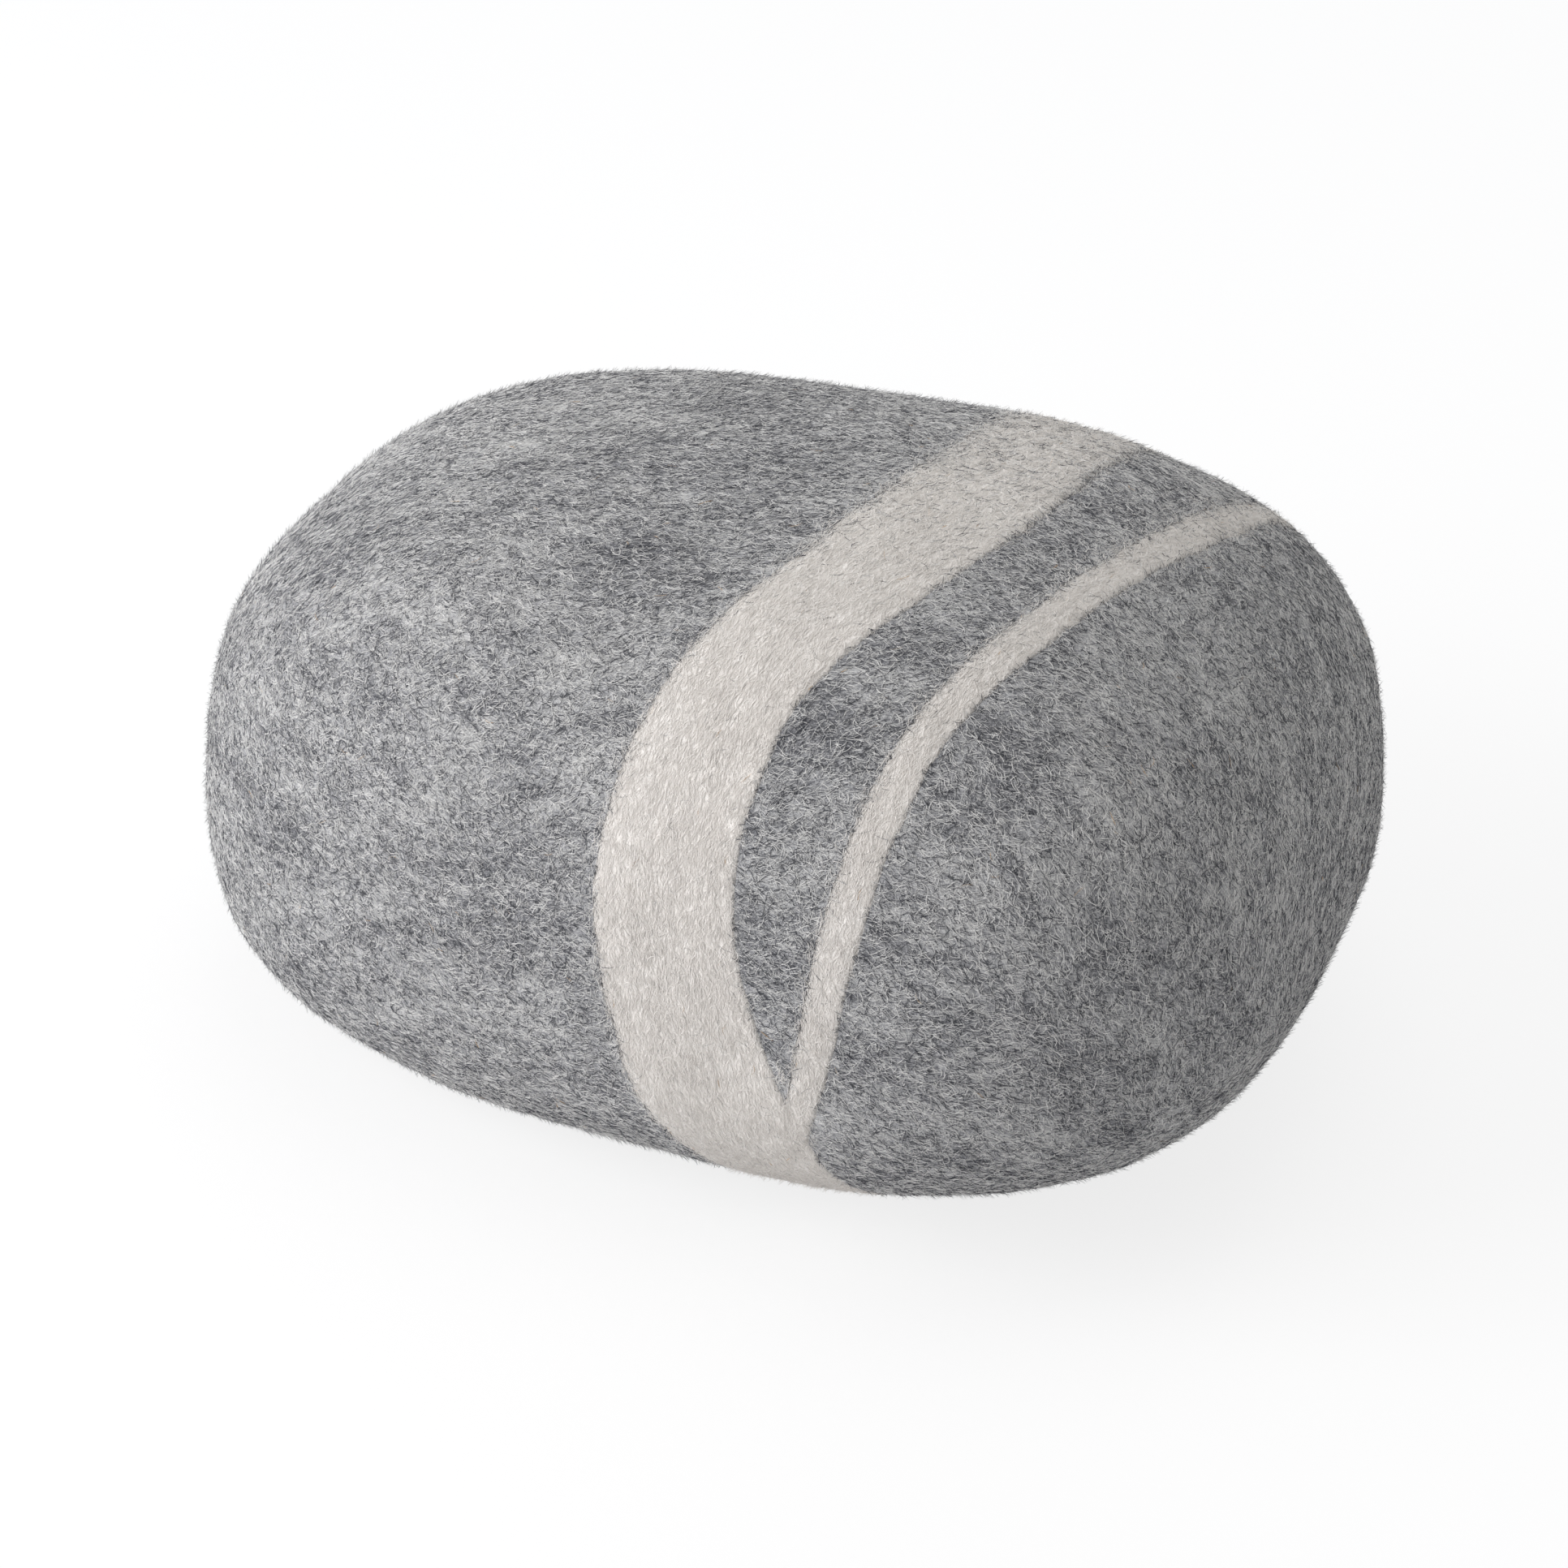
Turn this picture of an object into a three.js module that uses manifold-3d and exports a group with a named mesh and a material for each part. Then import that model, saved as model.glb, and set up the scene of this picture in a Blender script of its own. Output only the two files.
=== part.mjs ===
// A felted wool stone: a floor cushion whose seamless felt cover closes underneath with a zip,
// around a lined inner cushion. Millimetres, +Z up, +X along the stone, and the origin on the
// floor under the middle of the stone.
import * as THREE from 'three';
import { mergeVertices } from 'three/addons/utils/BufferGeometryUtils.js';
import Module from 'manifold-3d';

const wasm = await Module();
wasm.setup();

// ---------- the stone's form ----------
const halfLength = 300;
const widthRatio = 0.764; // half width over half length
const crownRatio = 0.623; // height above the girth over half length
const bellyRatio = 0.434; // depth below the girth over half length
const planPower = 2.89; // 2 is an ellipse, more is squarer
const crownPower = 2.77;
const bellyPower = 2.52;
const widthTaper = 0.106; // the +X end is the wider one
const heightTaper = -0.058; // and the lower one
const sideLean = -0.0185; // the crown falls a little towards +Y
const planShear = -0.076;
const endLift = 0.06; // the belly rises towards the +X end
const baseFlattening = 16; // how far the resting weight presses the belly flat

// ---------- layers, each measured inwards from the cover's outer face ----------
const gap = 0.3;
const feltThickness = 9;
const veinThickness = 2.2;
const linerDepth = feltThickness + 3;
const linerThickness = 1.2;
const bindingDepth = linerDepth + linerThickness + gap;
const bindingThickness = 1;
const bindingHalfHeight = 6;
const waddingDepth = bindingDepth + bindingThickness + 2;
const waddingThickness = 24;
const foamDepth = waddingDepth + waddingThickness + 3;
const linerFloor = 13; // height of the liner's underside, just over the slider
const waddingFloor = 18;

// ---------- zip, seen from the floor upwards ----------
const zipCentre = -60;
const slitLength = 250;
const slitWidth = 16;
const tapeOverrun = 15; // tape beyond each end of the slit
const tapeInnerEdge = 1.2;
const tapeOuterEdge = 16;
const tapeThickness = 0.8;
const tapeBottom = feltThickness + gap;
const tapeTop = tapeBottom + tapeThickness;
const coilInnerEdge = 0.9;
const coilWidth = 2.2;
const coilHeight = 2.4;
const coilTop = tapeBottom - gap;
const coilBottom = coilTop - coilHeight;
const coilMiddle = (coilTop + coilBottom) / 2;
const stopLength = 3;
const stopOuterEdge = 4.2;
const threadSize = 0.8;
const threadBottom = tapeTop + gap;
const stitchLine = 11; // the stitch rows' distance from the zip's middle
const barTackLength = 3;
const barTackHalfWidth = 6;
const barTackOffset = slitLength / 2 + 5;

// ---------- slider ----------
const sliderLength = 12;
const sliderHalfWidth = 5;
const sliderCornerRadius = 2;
const sliderClearance = 0.4;
const outerPlateThickness = 1.4;
const innerPlateThickness = 1.2;
const outerPlateTop = coilBottom - sliderClearance;
const outerPlateBottom = outerPlateTop - outerPlateThickness;
const innerPlateBottom = tapeTop + sliderClearance;
const flangeInnerEdge = 3.6;
const flangeTop = coilTop - 0.1;
const wedgeHalfWidth = 0.5;
const wedgeLength = 2.5;
const bailHalfWidth = 1;
const bailHalfLength = 3.6;
const bailBarThickness = 1.2;
const bailBottom = 1.5;
const closedPosition = slitLength / 2 - 14; // the slider's place at rest, from the zip's middle
const openPosition = -(slitLength / 2 - 21);
const topStopStart = closedPosition + sliderLength / 2 + 0.5;
const bottomStopEnd = openPosition - sliderLength / 2 - 0.5;

// ---------- pull tab ----------
const pinRadius = 0.6;
const pinHeight = 3.6;
const tabThickness = 1.2;
const tabLength = 20;
const tabHalfWidth = 3.2;
const tabNeck = 4.6; // where the tab's two arms join its plate
const armInnerEdge = bailHalfWidth + gap;
const armOuterEdge = 2.6;
const tabHoleRadius = 1.4;

// ---------- care label ----------
const labelLength = 35;
const labelWidth = 25;
const labelThickness = 0.5;
const labelCorner = [30, 18];

// ---------- white veins: edges at even steps of angle round the stone's long axis ----------
// Angle 0 is level on the -Y side, 90 is the crown and 180 is level on the +Y side.
const veinStations = [-35, -10, 15, 40, 65, 90, 115, 140, 165, 190, 215];
const wide = {
  left: [98, 38, 13, 16, 42, 56, 62, 60, 54, 46, 44],
  right: [172, 128, 89, 85, 112, 132, 135, 136, 131, 122, 118],
  start: -35,
  end: 212,
  stripes: 4,
  steps: 44,
};
const narrow = {
  left: [60, 104, 124, 135, 156, 171, 184, 196, 205, 211, 211],
  right: [75, 119, 143, 156, 176, 191, 204, 213, 217, 219, 219],
  start: -12,
  end: 188,
  stripes: 1,
  steps: 36,
};
const recessOverrun = 6; // how far a recess's cutting form stands proud of the cover

// ---------- solids and booleans ----------
function solidOf(geometry) {
  geometry.deleteAttribute('normal');
  geometry.deleteAttribute('uv');
  const merged = mergeVertices(geometry);
  return new wasm.Manifold(new wasm.Mesh({
    numProp: 3,
    vertProperties: new Float32Array(merged.attributes.position.array),
    triVerts: new Uint32Array(merged.index.array),
  }));
}

function geometryOf(solid) {
  const mesh = solid.getMesh();
  const geometry = new THREE.BufferGeometry();
  geometry.setAttribute('position', new THREE.BufferAttribute(mesh.vertProperties, 3));
  geometry.setIndex(new THREE.BufferAttribute(mesh.triVerts, 1));
  return geometry;
}

function moveVertices(geometry, placed) {
  const position = geometry.attributes.position;
  const point = new THREE.Vector3();
  for (let i = 0; i < position.count; i += 1) {
    point.fromBufferAttribute(position, i);
    placed(point);
    position.setXYZ(i, point.x, point.y, point.z);
  }
  return geometry;
}

// A box between two corners.
function boxGeometry(low, high) {
  const size = high.map((value, axis) => value - low[axis]);
  const middle = high.map((value, axis) => (value + low[axis]) / 2);
  return new THREE.BoxGeometry(...size).translate(...middle);
}

function slab(bottom, top) {
  const reach = 2 * halfLength;
  return solidOf(boxGeometry([-reach, -reach, bottom], [reach, reach, top]));
}

// A plate with rounded corners, centred on the zip's middle line.
function roundedPlate(length, width, radius, bottom, thickness) {
  const x = length / 2 - radius;
  const y = width / 2 - radius;
  const outline = new THREE.Shape();
  outline.absarc(x, y, radius, 0, Math.PI / 2);
  outline.absarc(-x, y, radius, Math.PI / 2, Math.PI);
  outline.absarc(-x, -y, radius, Math.PI, 1.5 * Math.PI);
  outline.absarc(x, -y, radius, 1.5 * Math.PI, 2 * Math.PI);
  const plate = new THREE.ExtrudeGeometry(outline, {
    depth: thickness, bevelEnabled: false, curveSegments: 5,
  });
  return plate.translate(0, 0, bottom);
}

// ---------- the stone ----------
function superRadius(angle, power) {
  const spread = Math.abs(Math.cos(angle)) ** power + Math.abs(Math.sin(angle)) ** power;
  return spread ** (-1 / power);
}

// Moves a point of the unit sphere to the stone's surface, or to a layer that deep inside it.
function toStone(point, depth) {
  const around = Math.atan2(point.y, point.x);
  const above = Math.asin(THREE.MathUtils.clamp(point.z, -1, 1));
  const crown = above >= 0;
  const reach = superRadius(above, crown ? crownPower : bellyPower);
  const outwards = superRadius(around, planPower) * reach * Math.cos(above);
  const x = (halfLength - depth) * outwards * Math.cos(around);
  const y = (halfLength * widthRatio - depth) * outwards * Math.sin(around);
  const halfHeight = halfLength * (crown ? crownRatio : bellyRatio) - depth;
  const z = halfHeight * reach * Math.sin(above);
  const along = x / halfLength;
  const across = y / (halfLength * widthRatio);
  const widened = y * (1 + widthTaper * along);
  const leaned = z * (1 + heightTaper * along + sideLean * across);
  point.set(x + planShear * widened, widened, leaned + endLift * (x + planShear * widened));
}

function stoneGeometry(depth, around, upwards) {
  const sphere = new THREE.SphereGeometry(1, around, upwards).rotateX(Math.PI / 2);
  return moveVertices(sphere, (point) => toStone(point, depth));
}

const fineForm = stoneGeometry(0, 240, 120);
fineForm.computeBoundingBox();
const formBox = fineForm.boundingBox;
const girthHeight = -formBox.min.z - baseFlattening; // height of the widest level over the floor
const toFloor = [
  -(formBox.min.x + formBox.max.x) / 2,
  -(formBox.min.y + formBox.max.y) / 2,
  girthHeight,
];

// One layer's outer face as a solid, with its underside flat at the given height.
function layer(depth, floorHeight, around, upwards) {
  const stone = solidOf(stoneGeometry(depth, around, upwards).translate(...toFloor));
  return stone.intersect(slab(floorHeight, 2 * halfLength));
}

// ---------- veins ----------
function edgeCurve(edge) {
  return new THREE.SplineCurve(edge.map((x, i) => new THREE.Vector2(veinStations[i], x)));
}

// 1 on the surface of a layer, less inside it; the steps of toStone undone in turn.
function stoneLevel(x, y, z, depth) {
  const unsheared = x - planShear * y;
  const along = unsheared / halfLength;
  const narrowed = y / (1 + widthTaper * along);
  const across = narrowed / (halfLength * widthRatio);
  const upright = (z - endLift * x) / (1 + heightTaper * along + sideLean * across);
  const crown = upright >= 0;
  const power = crown ? crownPower : bellyPower;
  const halfHeight = halfLength * (crown ? crownRatio : bellyRatio) - depth;
  const plan = (Math.abs(unsheared) / (halfLength - depth)) ** planPower
    + (Math.abs(narrowed) / (halfLength * widthRatio - depth)) ** planPower;
  return plan ** (power / planPower) + (Math.abs(upright) / halfHeight) ** power;
}

// How far a layer's surface is from the stone's long axis, at a place x and a turn round the axis.
function radiusAt(x, turn, depth) {
  const halvings = 30;
  let inside = 0;
  let outside = halfLength;
  for (let i = 0; i < halvings; i += 1) {
    const radius = (inside + outside) / 2;
    const level = stoneLevel(x, -radius * Math.cos(turn), radius * Math.sin(turn), depth);
    if (level < 1) inside = radius;
    else outside = radius;
  }
  return inside;
}

// The band between a vein's two edges, from one depth under the cover's face to another.
function band(vein, grow, outerDepth, innerDepth) {
  const leftEdge = edgeCurve(vein.left);
  const rightEdge = edgeCurve(vein.right);
  const span = THREE.MathUtils.mapLinear;
  const growAngle = THREE.MathUtils.radToDeg(grow / (halfLength * crownRatio));
  const lastStation = veinStations[veinStations.length - 1];
  const grid = new THREE.BoxGeometry(1, 1, 1, vein.stripes, vein.steps, 1);
  return solidOf(moveVertices(grid, (point) => {
    const angle = span(point.y, -0.5, 0.5, vein.start - growAngle, vein.end + growAngle);
    const share = THREE.MathUtils.clamp(span(angle, veinStations[0], lastStation, 0, 1), 0, 1);
    const left = leftEdge.getPoint(share).y - grow;
    const right = rightEdge.getPoint(share).y + grow;
    const x = span(point.x, -0.5, 0.5, left, right);
    const turn = THREE.MathUtils.degToRad(angle);
    const radius = radiusAt(x - toFloor[0], turn, point.z > 0 ? outerDepth : innerDepth);
    point.set(x, -radius * Math.cos(turn), radius * Math.sin(turn) + girthHeight);
  }));
}

// The space a vein's layer is felted into, open to the outside.
function recess(vein) {
  return band(vein, gap, -recessOverrun, veinThickness + gap);
}

function wideVein() {
  return band(wide, 0, 0, veinThickness);
}

function narrowVein() {
  return band(narrow, 0, 0, veinThickness).subtract(recess(wide));
}

function feltCover() {
  const outer = layer(0, 0, 44, 24);
  const cavity = layer(feltThickness, feltThickness, 40, 20);
  const slit = roundedPlate(slitLength, slitWidth, slitWidth / 2, -5, feltThickness + 10);
  return outer
    .subtract(cavity)
    .subtract(recess(wide).add(recess(narrow)))
    .subtract(solidOf(slit.translate(zipCentre, 0, 0)));
}

// ---------- inner cushion ----------
function hollowLayer(depth, thickness, floorHeight, around, upwards) {
  const outside = layer(depth, floorHeight, around, upwards);
  return outside.subtract(layer(depth + thickness, floorHeight + thickness, around, upwards));
}

function upperHalf(solid) {
  return solid.intersect(slab(girthHeight + gap / 2, 2 * halfLength));
}

function lowerHalf(solid) {
  return solid.intersect(slab(-halfLength, girthHeight - gap / 2));
}

const liner = hollowLayer(linerDepth, linerThickness, linerFloor, 32, 16);
const wadding = hollowLayer(waddingDepth, waddingThickness, waddingFloor, 24, 12);

function linerSeamBinding() {
  const ring = hollowLayer(bindingDepth, bindingThickness, linerFloor, 32, 16);
  return ring.intersect(slab(girthHeight - bindingHalfHeight, girthHeight + bindingHalfHeight));
}

function foamCore() {
  return layer(foamDepth, waddingFloor + waddingThickness + 1, 24, 12);
}

// ---------- zip ----------
const tapeHalfLength = slitLength / 2 + tapeOverrun;
const coilStart = bottomStopEnd + gap;
const coilEnd = topStopStart - gap;

// side is +1 on the +Y half of the zip and -1 on the other.
function sideBox(side, inner, outer, start, end, bottom, top) {
  const near = Math.min(side * inner, side * outer);
  const far = Math.max(side * inner, side * outer);
  return boxGeometry([start, near, bottom], [end, far, top]);
}

function zipTape(side) {
  return sideBox(side, tapeInnerEdge, tapeOuterEdge, -tapeHalfLength, tapeHalfLength, tapeBottom, tapeTop);
}

// The coil's outer envelope, an oval bar along the tape's edge.
function zipCoil(side) {
  const oval = new THREE.CylinderGeometry(0.5, 0.5, coilEnd - coilStart, 10);
  oval.rotateZ(Math.PI / 2).scale(1, coilWidth, coilHeight);
  const middle = side * (coilInnerEdge + coilWidth / 2);
  return oval.translate((coilStart + coilEnd) / 2, middle, coilMiddle);
}

function topStop(side) {
  const end = topStopStart + stopLength;
  return sideBox(side, coilInnerEdge, stopOuterEdge, topStopStart, end, coilBottom, coilTop);
}

function bottomStop() {
  const start = bottomStopEnd - stopLength;
  return boxGeometry([start, -stopOuterEdge, coilBottom], [bottomStopEnd, stopOuterEdge, coilTop]);
}

function stitchRow(side) {
  const reach = tapeHalfLength - 5;
  const inner = stitchLine - threadSize / 2;
  const outer = stitchLine + threadSize / 2;
  return sideBox(side, inner, outer, -reach, reach, threadBottom, threadBottom + threadSize);
}

// end is +1 at the closed end of the zip and -1 at the other.
function barTack(end) {
  const middle = end * barTackOffset;
  const low = [middle - barTackLength / 2, -barTackHalfWidth, threadBottom];
  const high = [middle + barTackLength / 2, barTackHalfWidth, threadBottom + threadSize];
  return boxGeometry(low, high);
}

function careLabel() {
  const [x, y] = labelCorner;
  return boxGeometry([x, y, tapeBottom], [x + labelLength, y + labelWidth, tapeBottom + labelThickness]);
}

// Two plates round the chain, joined by the wedge that parts the coils, with a bail underneath.
function sliderBody() {
  const width = 2 * sliderHalfWidth;
  const halfBody = sliderLength / 2;
  const overlap = 0.2;
  const legTop = outerPlateBottom + overlap;
  const legEnd = bailHalfLength - bailBarThickness;
  const barTop = bailBottom + bailBarThickness;
  const outerPlate = roundedPlate(
    sliderLength, width, sliderCornerRadius, outerPlateBottom, outerPlateThickness,
  );
  const innerPlate = roundedPlate(
    sliderLength, width, sliderCornerRadius, innerPlateBottom, innerPlateThickness,
  );
  const flangeReach = halfBody - sliderCornerRadius;
  const pieces = [
    innerPlate,
    sideBox(1, flangeInnerEdge, sliderHalfWidth, -flangeReach, flangeReach, outerPlateTop - overlap, flangeTop),
    sideBox(-1, flangeInnerEdge, sliderHalfWidth, -flangeReach, flangeReach, outerPlateTop - overlap, flangeTop),
    boxGeometry(
      [halfBody - 1 - wedgeLength, -wedgeHalfWidth, outerPlateTop - overlap],
      [halfBody - 1, wedgeHalfWidth, innerPlateBottom + overlap],
    ),
    boxGeometry([-bailHalfLength, -bailHalfWidth, bailBottom], [-legEnd, bailHalfWidth, legTop]),
    boxGeometry([legEnd, -bailHalfWidth, bailBottom], [bailHalfLength, bailHalfWidth, legTop]),
    boxGeometry([-legEnd - overlap, -bailHalfWidth, bailBottom], [legEnd + overlap, bailHalfWidth, barTop]),
  ];
  return pieces.reduce((body, piece) => body.add(solidOf(piece)), solidOf(outerPlate));
}

// The tab's pin runs through the bail, and its plate lies along the chain towards -X.
function pullTab() {
  const halfTab = tabThickness / 2;
  const plateLength = tabLength - tabNeck;
  const holeMiddle = -tabLength + tabHalfWidth;
  const pin = new THREE.CylinderGeometry(pinRadius, pinRadius, 2 * armOuterEdge, 12);
  const plate = roundedPlate(plateLength, 2 * tabHalfWidth, 1.5, -halfTab, tabThickness);
  const hole = new THREE.CylinderGeometry(tabHoleRadius, tabHoleRadius, 3 * tabThickness, 16);
  const arms = [1, -1].map((side) => {
    return solidOf(sideBox(side, armInnerEdge, armOuterEdge, -tabNeck - 1, 0, -halfTab, halfTab));
  });
  return solidOf(pin)
    .add(arms[0])
    .add(arms[1])
    .add(solidOf(plate.translate(-tabNeck - plateLength / 2, 0, 0)))
    .subtract(solidOf(hole.rotateX(Math.PI / 2).translate(holeMiddle, 0, 0)));
}

// ---------- the scene graph ----------
function finish(color, roughness, metalness = 0) {
  return new THREE.MeshStandardMaterial({ color, roughness, metalness });
}

const greyFelt = finish(0x949497, 0.95);
const whiteFelt = finish(0xdad5cf, 0.95);
const tapeCloth = finish(0x8d8e91, 0.85);
const coilNylon = finish(0xa0a1a4, 0.45);
const metal = finish(0x8a8c90, 0.35, 1);
const thread = finish(0x9a9a9c, 0.8);
const cotton = finish(0xe9e3d6, 0.9);
const polyester = finish(0xf4f4f2, 0.95);
const foam = finish(0xe8dcae, 0.9);
const labelCloth = finish(0xf6f6f4, 0.7);

function part(name, shape, material) {
  const geometry = shape.isBufferGeometry ? shape : geometryOf(shape);
  const mesh = new THREE.Mesh(geometry, material);
  mesh.name = name;
  return mesh;
}

const group = new THREE.Group();
group.add(
  part('felt_cover', feltCover(), greyFelt),
  part('wide_white_vein', wideVein(), whiteFelt),
  part('narrow_white_vein', narrowVein(), whiteFelt),
  part('liner_upper_panel', upperHalf(liner), cotton),
  part('liner_lower_panel', lowerHalf(liner), cotton),
  part('liner_seam_binding', linerSeamBinding(), cotton),
  part('wadding_upper', upperHalf(wadding), polyester),
  part('wadding_lower', lowerHalf(wadding), polyester),
  part('foam_core', foamCore(), foam),
  part('care_label', careLabel(), labelCloth),
);

const zip = new THREE.Group();
zip.position.x = zipCentre;
zip.add(
  part('zip_tape_left', zipTape(1), tapeCloth),
  part('zip_tape_right', zipTape(-1), tapeCloth),
  part('zip_coil_left', zipCoil(1), coilNylon),
  part('zip_coil_right', zipCoil(-1), coilNylon),
  part('zip_top_stop_left', topStop(1), metal),
  part('zip_top_stop_right', topStop(-1), metal),
  part('zip_bottom_stop', bottomStop(), metal),
  part('stitch_row_left', stitchRow(1), thread),
  part('stitch_row_right', stitchRow(-1), thread),
  part('bar_tack_closed_end', barTack(1), thread),
  part('bar_tack_open_end', barTack(-1), thread),
);
group.add(zip);

const slider = new THREE.Group();
slider.position.x = closedPosition;
slider.add(part('slider_body', sliderBody(), metal));
const tab = part('pull_tab', pullTab(), metal);
tab.position.z = pinHeight;
slider.add(tab);
zip.add(slider);

export default group;
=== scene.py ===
"""A felted wool stone: grey marled felt with two white veins, zipped underneath round an inner cushion.

Metres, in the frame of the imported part: +X along the stone, +Z up, floor at z = 0.
"""

import math

import bmesh
import bpy
import numpy as np
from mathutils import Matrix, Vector


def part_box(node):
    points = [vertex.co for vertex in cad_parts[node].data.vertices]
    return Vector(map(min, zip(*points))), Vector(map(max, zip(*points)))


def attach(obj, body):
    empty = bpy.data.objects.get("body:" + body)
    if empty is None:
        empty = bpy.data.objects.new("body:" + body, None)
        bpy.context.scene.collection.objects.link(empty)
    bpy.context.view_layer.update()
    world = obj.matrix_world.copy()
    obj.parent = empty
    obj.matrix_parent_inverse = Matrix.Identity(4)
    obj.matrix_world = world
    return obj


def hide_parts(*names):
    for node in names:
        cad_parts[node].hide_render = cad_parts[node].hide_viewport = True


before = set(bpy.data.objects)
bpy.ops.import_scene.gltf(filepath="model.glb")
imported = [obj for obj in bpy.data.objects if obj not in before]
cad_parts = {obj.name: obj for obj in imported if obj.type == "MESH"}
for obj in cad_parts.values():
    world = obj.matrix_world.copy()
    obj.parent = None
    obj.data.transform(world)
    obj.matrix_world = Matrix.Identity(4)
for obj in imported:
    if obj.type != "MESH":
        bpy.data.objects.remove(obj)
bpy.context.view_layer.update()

MM = 0.001
LENGTHWAYS, _, UPWARDS = np.eye(3)
BODY = "cushion"
cover_low, cover_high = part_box("felt_cover")

# ---------- the stone's form, as shares of its half length ----------
WIDTH_RATIO = 0.764
CROWN_RATIO = 0.623
BELLY_RATIO = 0.434
PLAN_POWER = 2.89
CROWN_POWER = 2.77
BELLY_POWER = 2.52
WIDTH_TAPER = 0.106
HEIGHT_TAPER = -0.058
SIDE_LEAN = -0.0185
PLAN_SHEAR = -0.076
END_LIFT = 0.06


def super_radius(angle, power):
    """Radius of a superellipse of half axes 1."""
    spread = np.abs(np.cos(angle)) ** power + np.abs(np.sin(angle)) ** power
    return spread ** (-1 / power)


def unit_stone(directions, depth=0.0):
    """Points of the stone of half length 1, or of a layer that deep inside it, one for each direction."""
    around = np.arctan2(directions[:, 1], directions[:, 0])
    above = np.arcsin(np.clip(directions[:, 2], -1, 1))
    crown = above >= 0
    reach = super_radius(above, np.where(crown, CROWN_POWER, BELLY_POWER))
    outwards = super_radius(around, PLAN_POWER) * reach * np.cos(above)
    x = (1 - depth) * outwards * np.cos(around)
    y = (WIDTH_RATIO - depth) * outwards * np.sin(around)
    z = (np.where(crown, CROWN_RATIO, BELLY_RATIO) - depth) * reach * np.sin(above)
    along = x
    across = y / WIDTH_RATIO
    y = y * (1 + WIDTH_TAPER * along)
    z = z * (1 + HEIGHT_TAPER * along + SIDE_LEAN * across)
    x = x + PLAN_SHEAR * y
    return np.column_stack([x, y, z + END_LIFT * x])


def unit(vectors):
    """The same vectors, each made 1 long."""
    return vectors / np.maximum(np.linalg.norm(vectors, axis=-1, keepdims=True), 1e-9)


def sphere_grid(side):
    """Directions and quads of a cube blown up to a sphere, side quads along each edge."""
    step = np.tan(np.linspace(-math.pi / 4, math.pi / 4, side + 1))
    u, v = np.meshgrid(step, step, indexing="ij")
    one = np.ones_like(u)
    sheets = [(one, u, v), (-one, v, u), (v, one, u), (u, -one, v), (u, v, one), (v, u, -one)]
    index = np.arange((side + 1) ** 2).reshape(side + 1, side + 1)
    corners = [index[:-1, :-1], index[1:, :-1], index[1:, 1:], index[:-1, 1:]]
    quad = np.stack(corners, -1).reshape(-1, 4)
    points = np.concatenate([np.stack(s, -1).reshape(-1, 3) for s in sheets])
    quads = np.concatenate([quad + i * len(index) ** 2 for i in range(len(sheets))])
    _, first, same = np.unique(np.round(points, 6), axis=0, return_index=True, return_inverse=True)
    return unit(points[first]), same.reshape(-1)[quads]


form_points = unit_stone(sphere_grid(60)[0])
form_low, form_high = form_points.min(0), form_points.max(0)
HALF_LENGTH = (cover_high.x - cover_low.x) / (form_high[0] - form_low[0])
GIRTH_HEIGHT = cover_high.z - form_high[2] * HALF_LENGTH
CENTRE = np.array([
    (cover_high.x + cover_low.x) / 2 - HALF_LENGTH * (form_high[0] + form_low[0]) / 2,
    (cover_high.y + cover_low.y) / 2 - HALF_LENGTH * (form_high[1] + form_low[1]) / 2,
    GIRTH_HEIGHT,
])


# ---------- noise ----------
AXIS_PRIMES = (73856093, 19349663, 83492791)
SEED_PRIME = 2654435761
SCRAMBLES = [(15, 2246822519), (13, 3266489917), (16, 1)]  # (bits to shift by, what to multiply by)
WORD = 0xFFFFFFFF
FIRST_CELL = 1000.0  # keeps the numbers of all cells above 0
SEEDS = {
    "relief": 11, "edges": 31, "flow": 51, "patches": 61, "streaks": 64, "white": 71, "wadding": 81,
    "foam": 91, "fibres": 7,
}


def lattice(cells, seed):
    """A repeatable value from -1 to 1 for each whole-number cell."""
    mixed = np.uint64(seed * SEED_PRIME)
    for axis, prime in enumerate(AXIS_PRIMES):
        mixed = mixed ^ cells[..., axis].astype(np.uint64) * np.uint64(prime)
    for shift, factor in SCRAMBLES:
        mixed = (mixed ^ mixed >> np.uint64(shift)) * np.uint64(factor) & np.uint64(WORD)
    return mixed.astype(float) / (WORD / 2) - 1


def noise(points, size, seed):
    """Smooth noise with lumps about size across."""
    scaled = points / size + FIRST_CELL
    cell = np.floor(scaled)
    part = scaled - cell
    blend = part * part * (3 - 2 * part)
    cell = cell.astype(np.int64)
    total = np.zeros(len(points))
    for corner in np.ndindex(2, 2, 2):
        corner = np.array(corner)
        weight = np.prod(np.where(corner, blend, 1 - blend), axis=1)
        total += weight * lattice(cell + corner, seed)
    return total


def layered(points, layers, use):
    """The sum of noises, each with its own (size, strength), for one of the uses that have a seed."""
    seed = SEEDS[use]
    return sum(strength * noise(points, size, seed + i) for i, (size, strength) in enumerate(layers))


# ---------- the felt's surface ----------
FELT_THICKNESS = 9 * MM
FELT_SIDE = 108  # quads along each edge of the cover's grid
HOLLOW_SIDE = 40  # and of its inside's
# (size of the lumps, how far they stand out or in)
RELIEF = [(75 * MM, 1.5 * MM), (30 * MM, 0.75 * MM), (12 * MM, 0.32 * MM)]
SHOULDER = 5 * MM  # height over the floor in which the belly rounds into its pressed base


def relief(points):
    """How far the hand-felted surface stands in or out of the smooth form at each point."""
    return layered(points, RELIEF, "relief")


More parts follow.
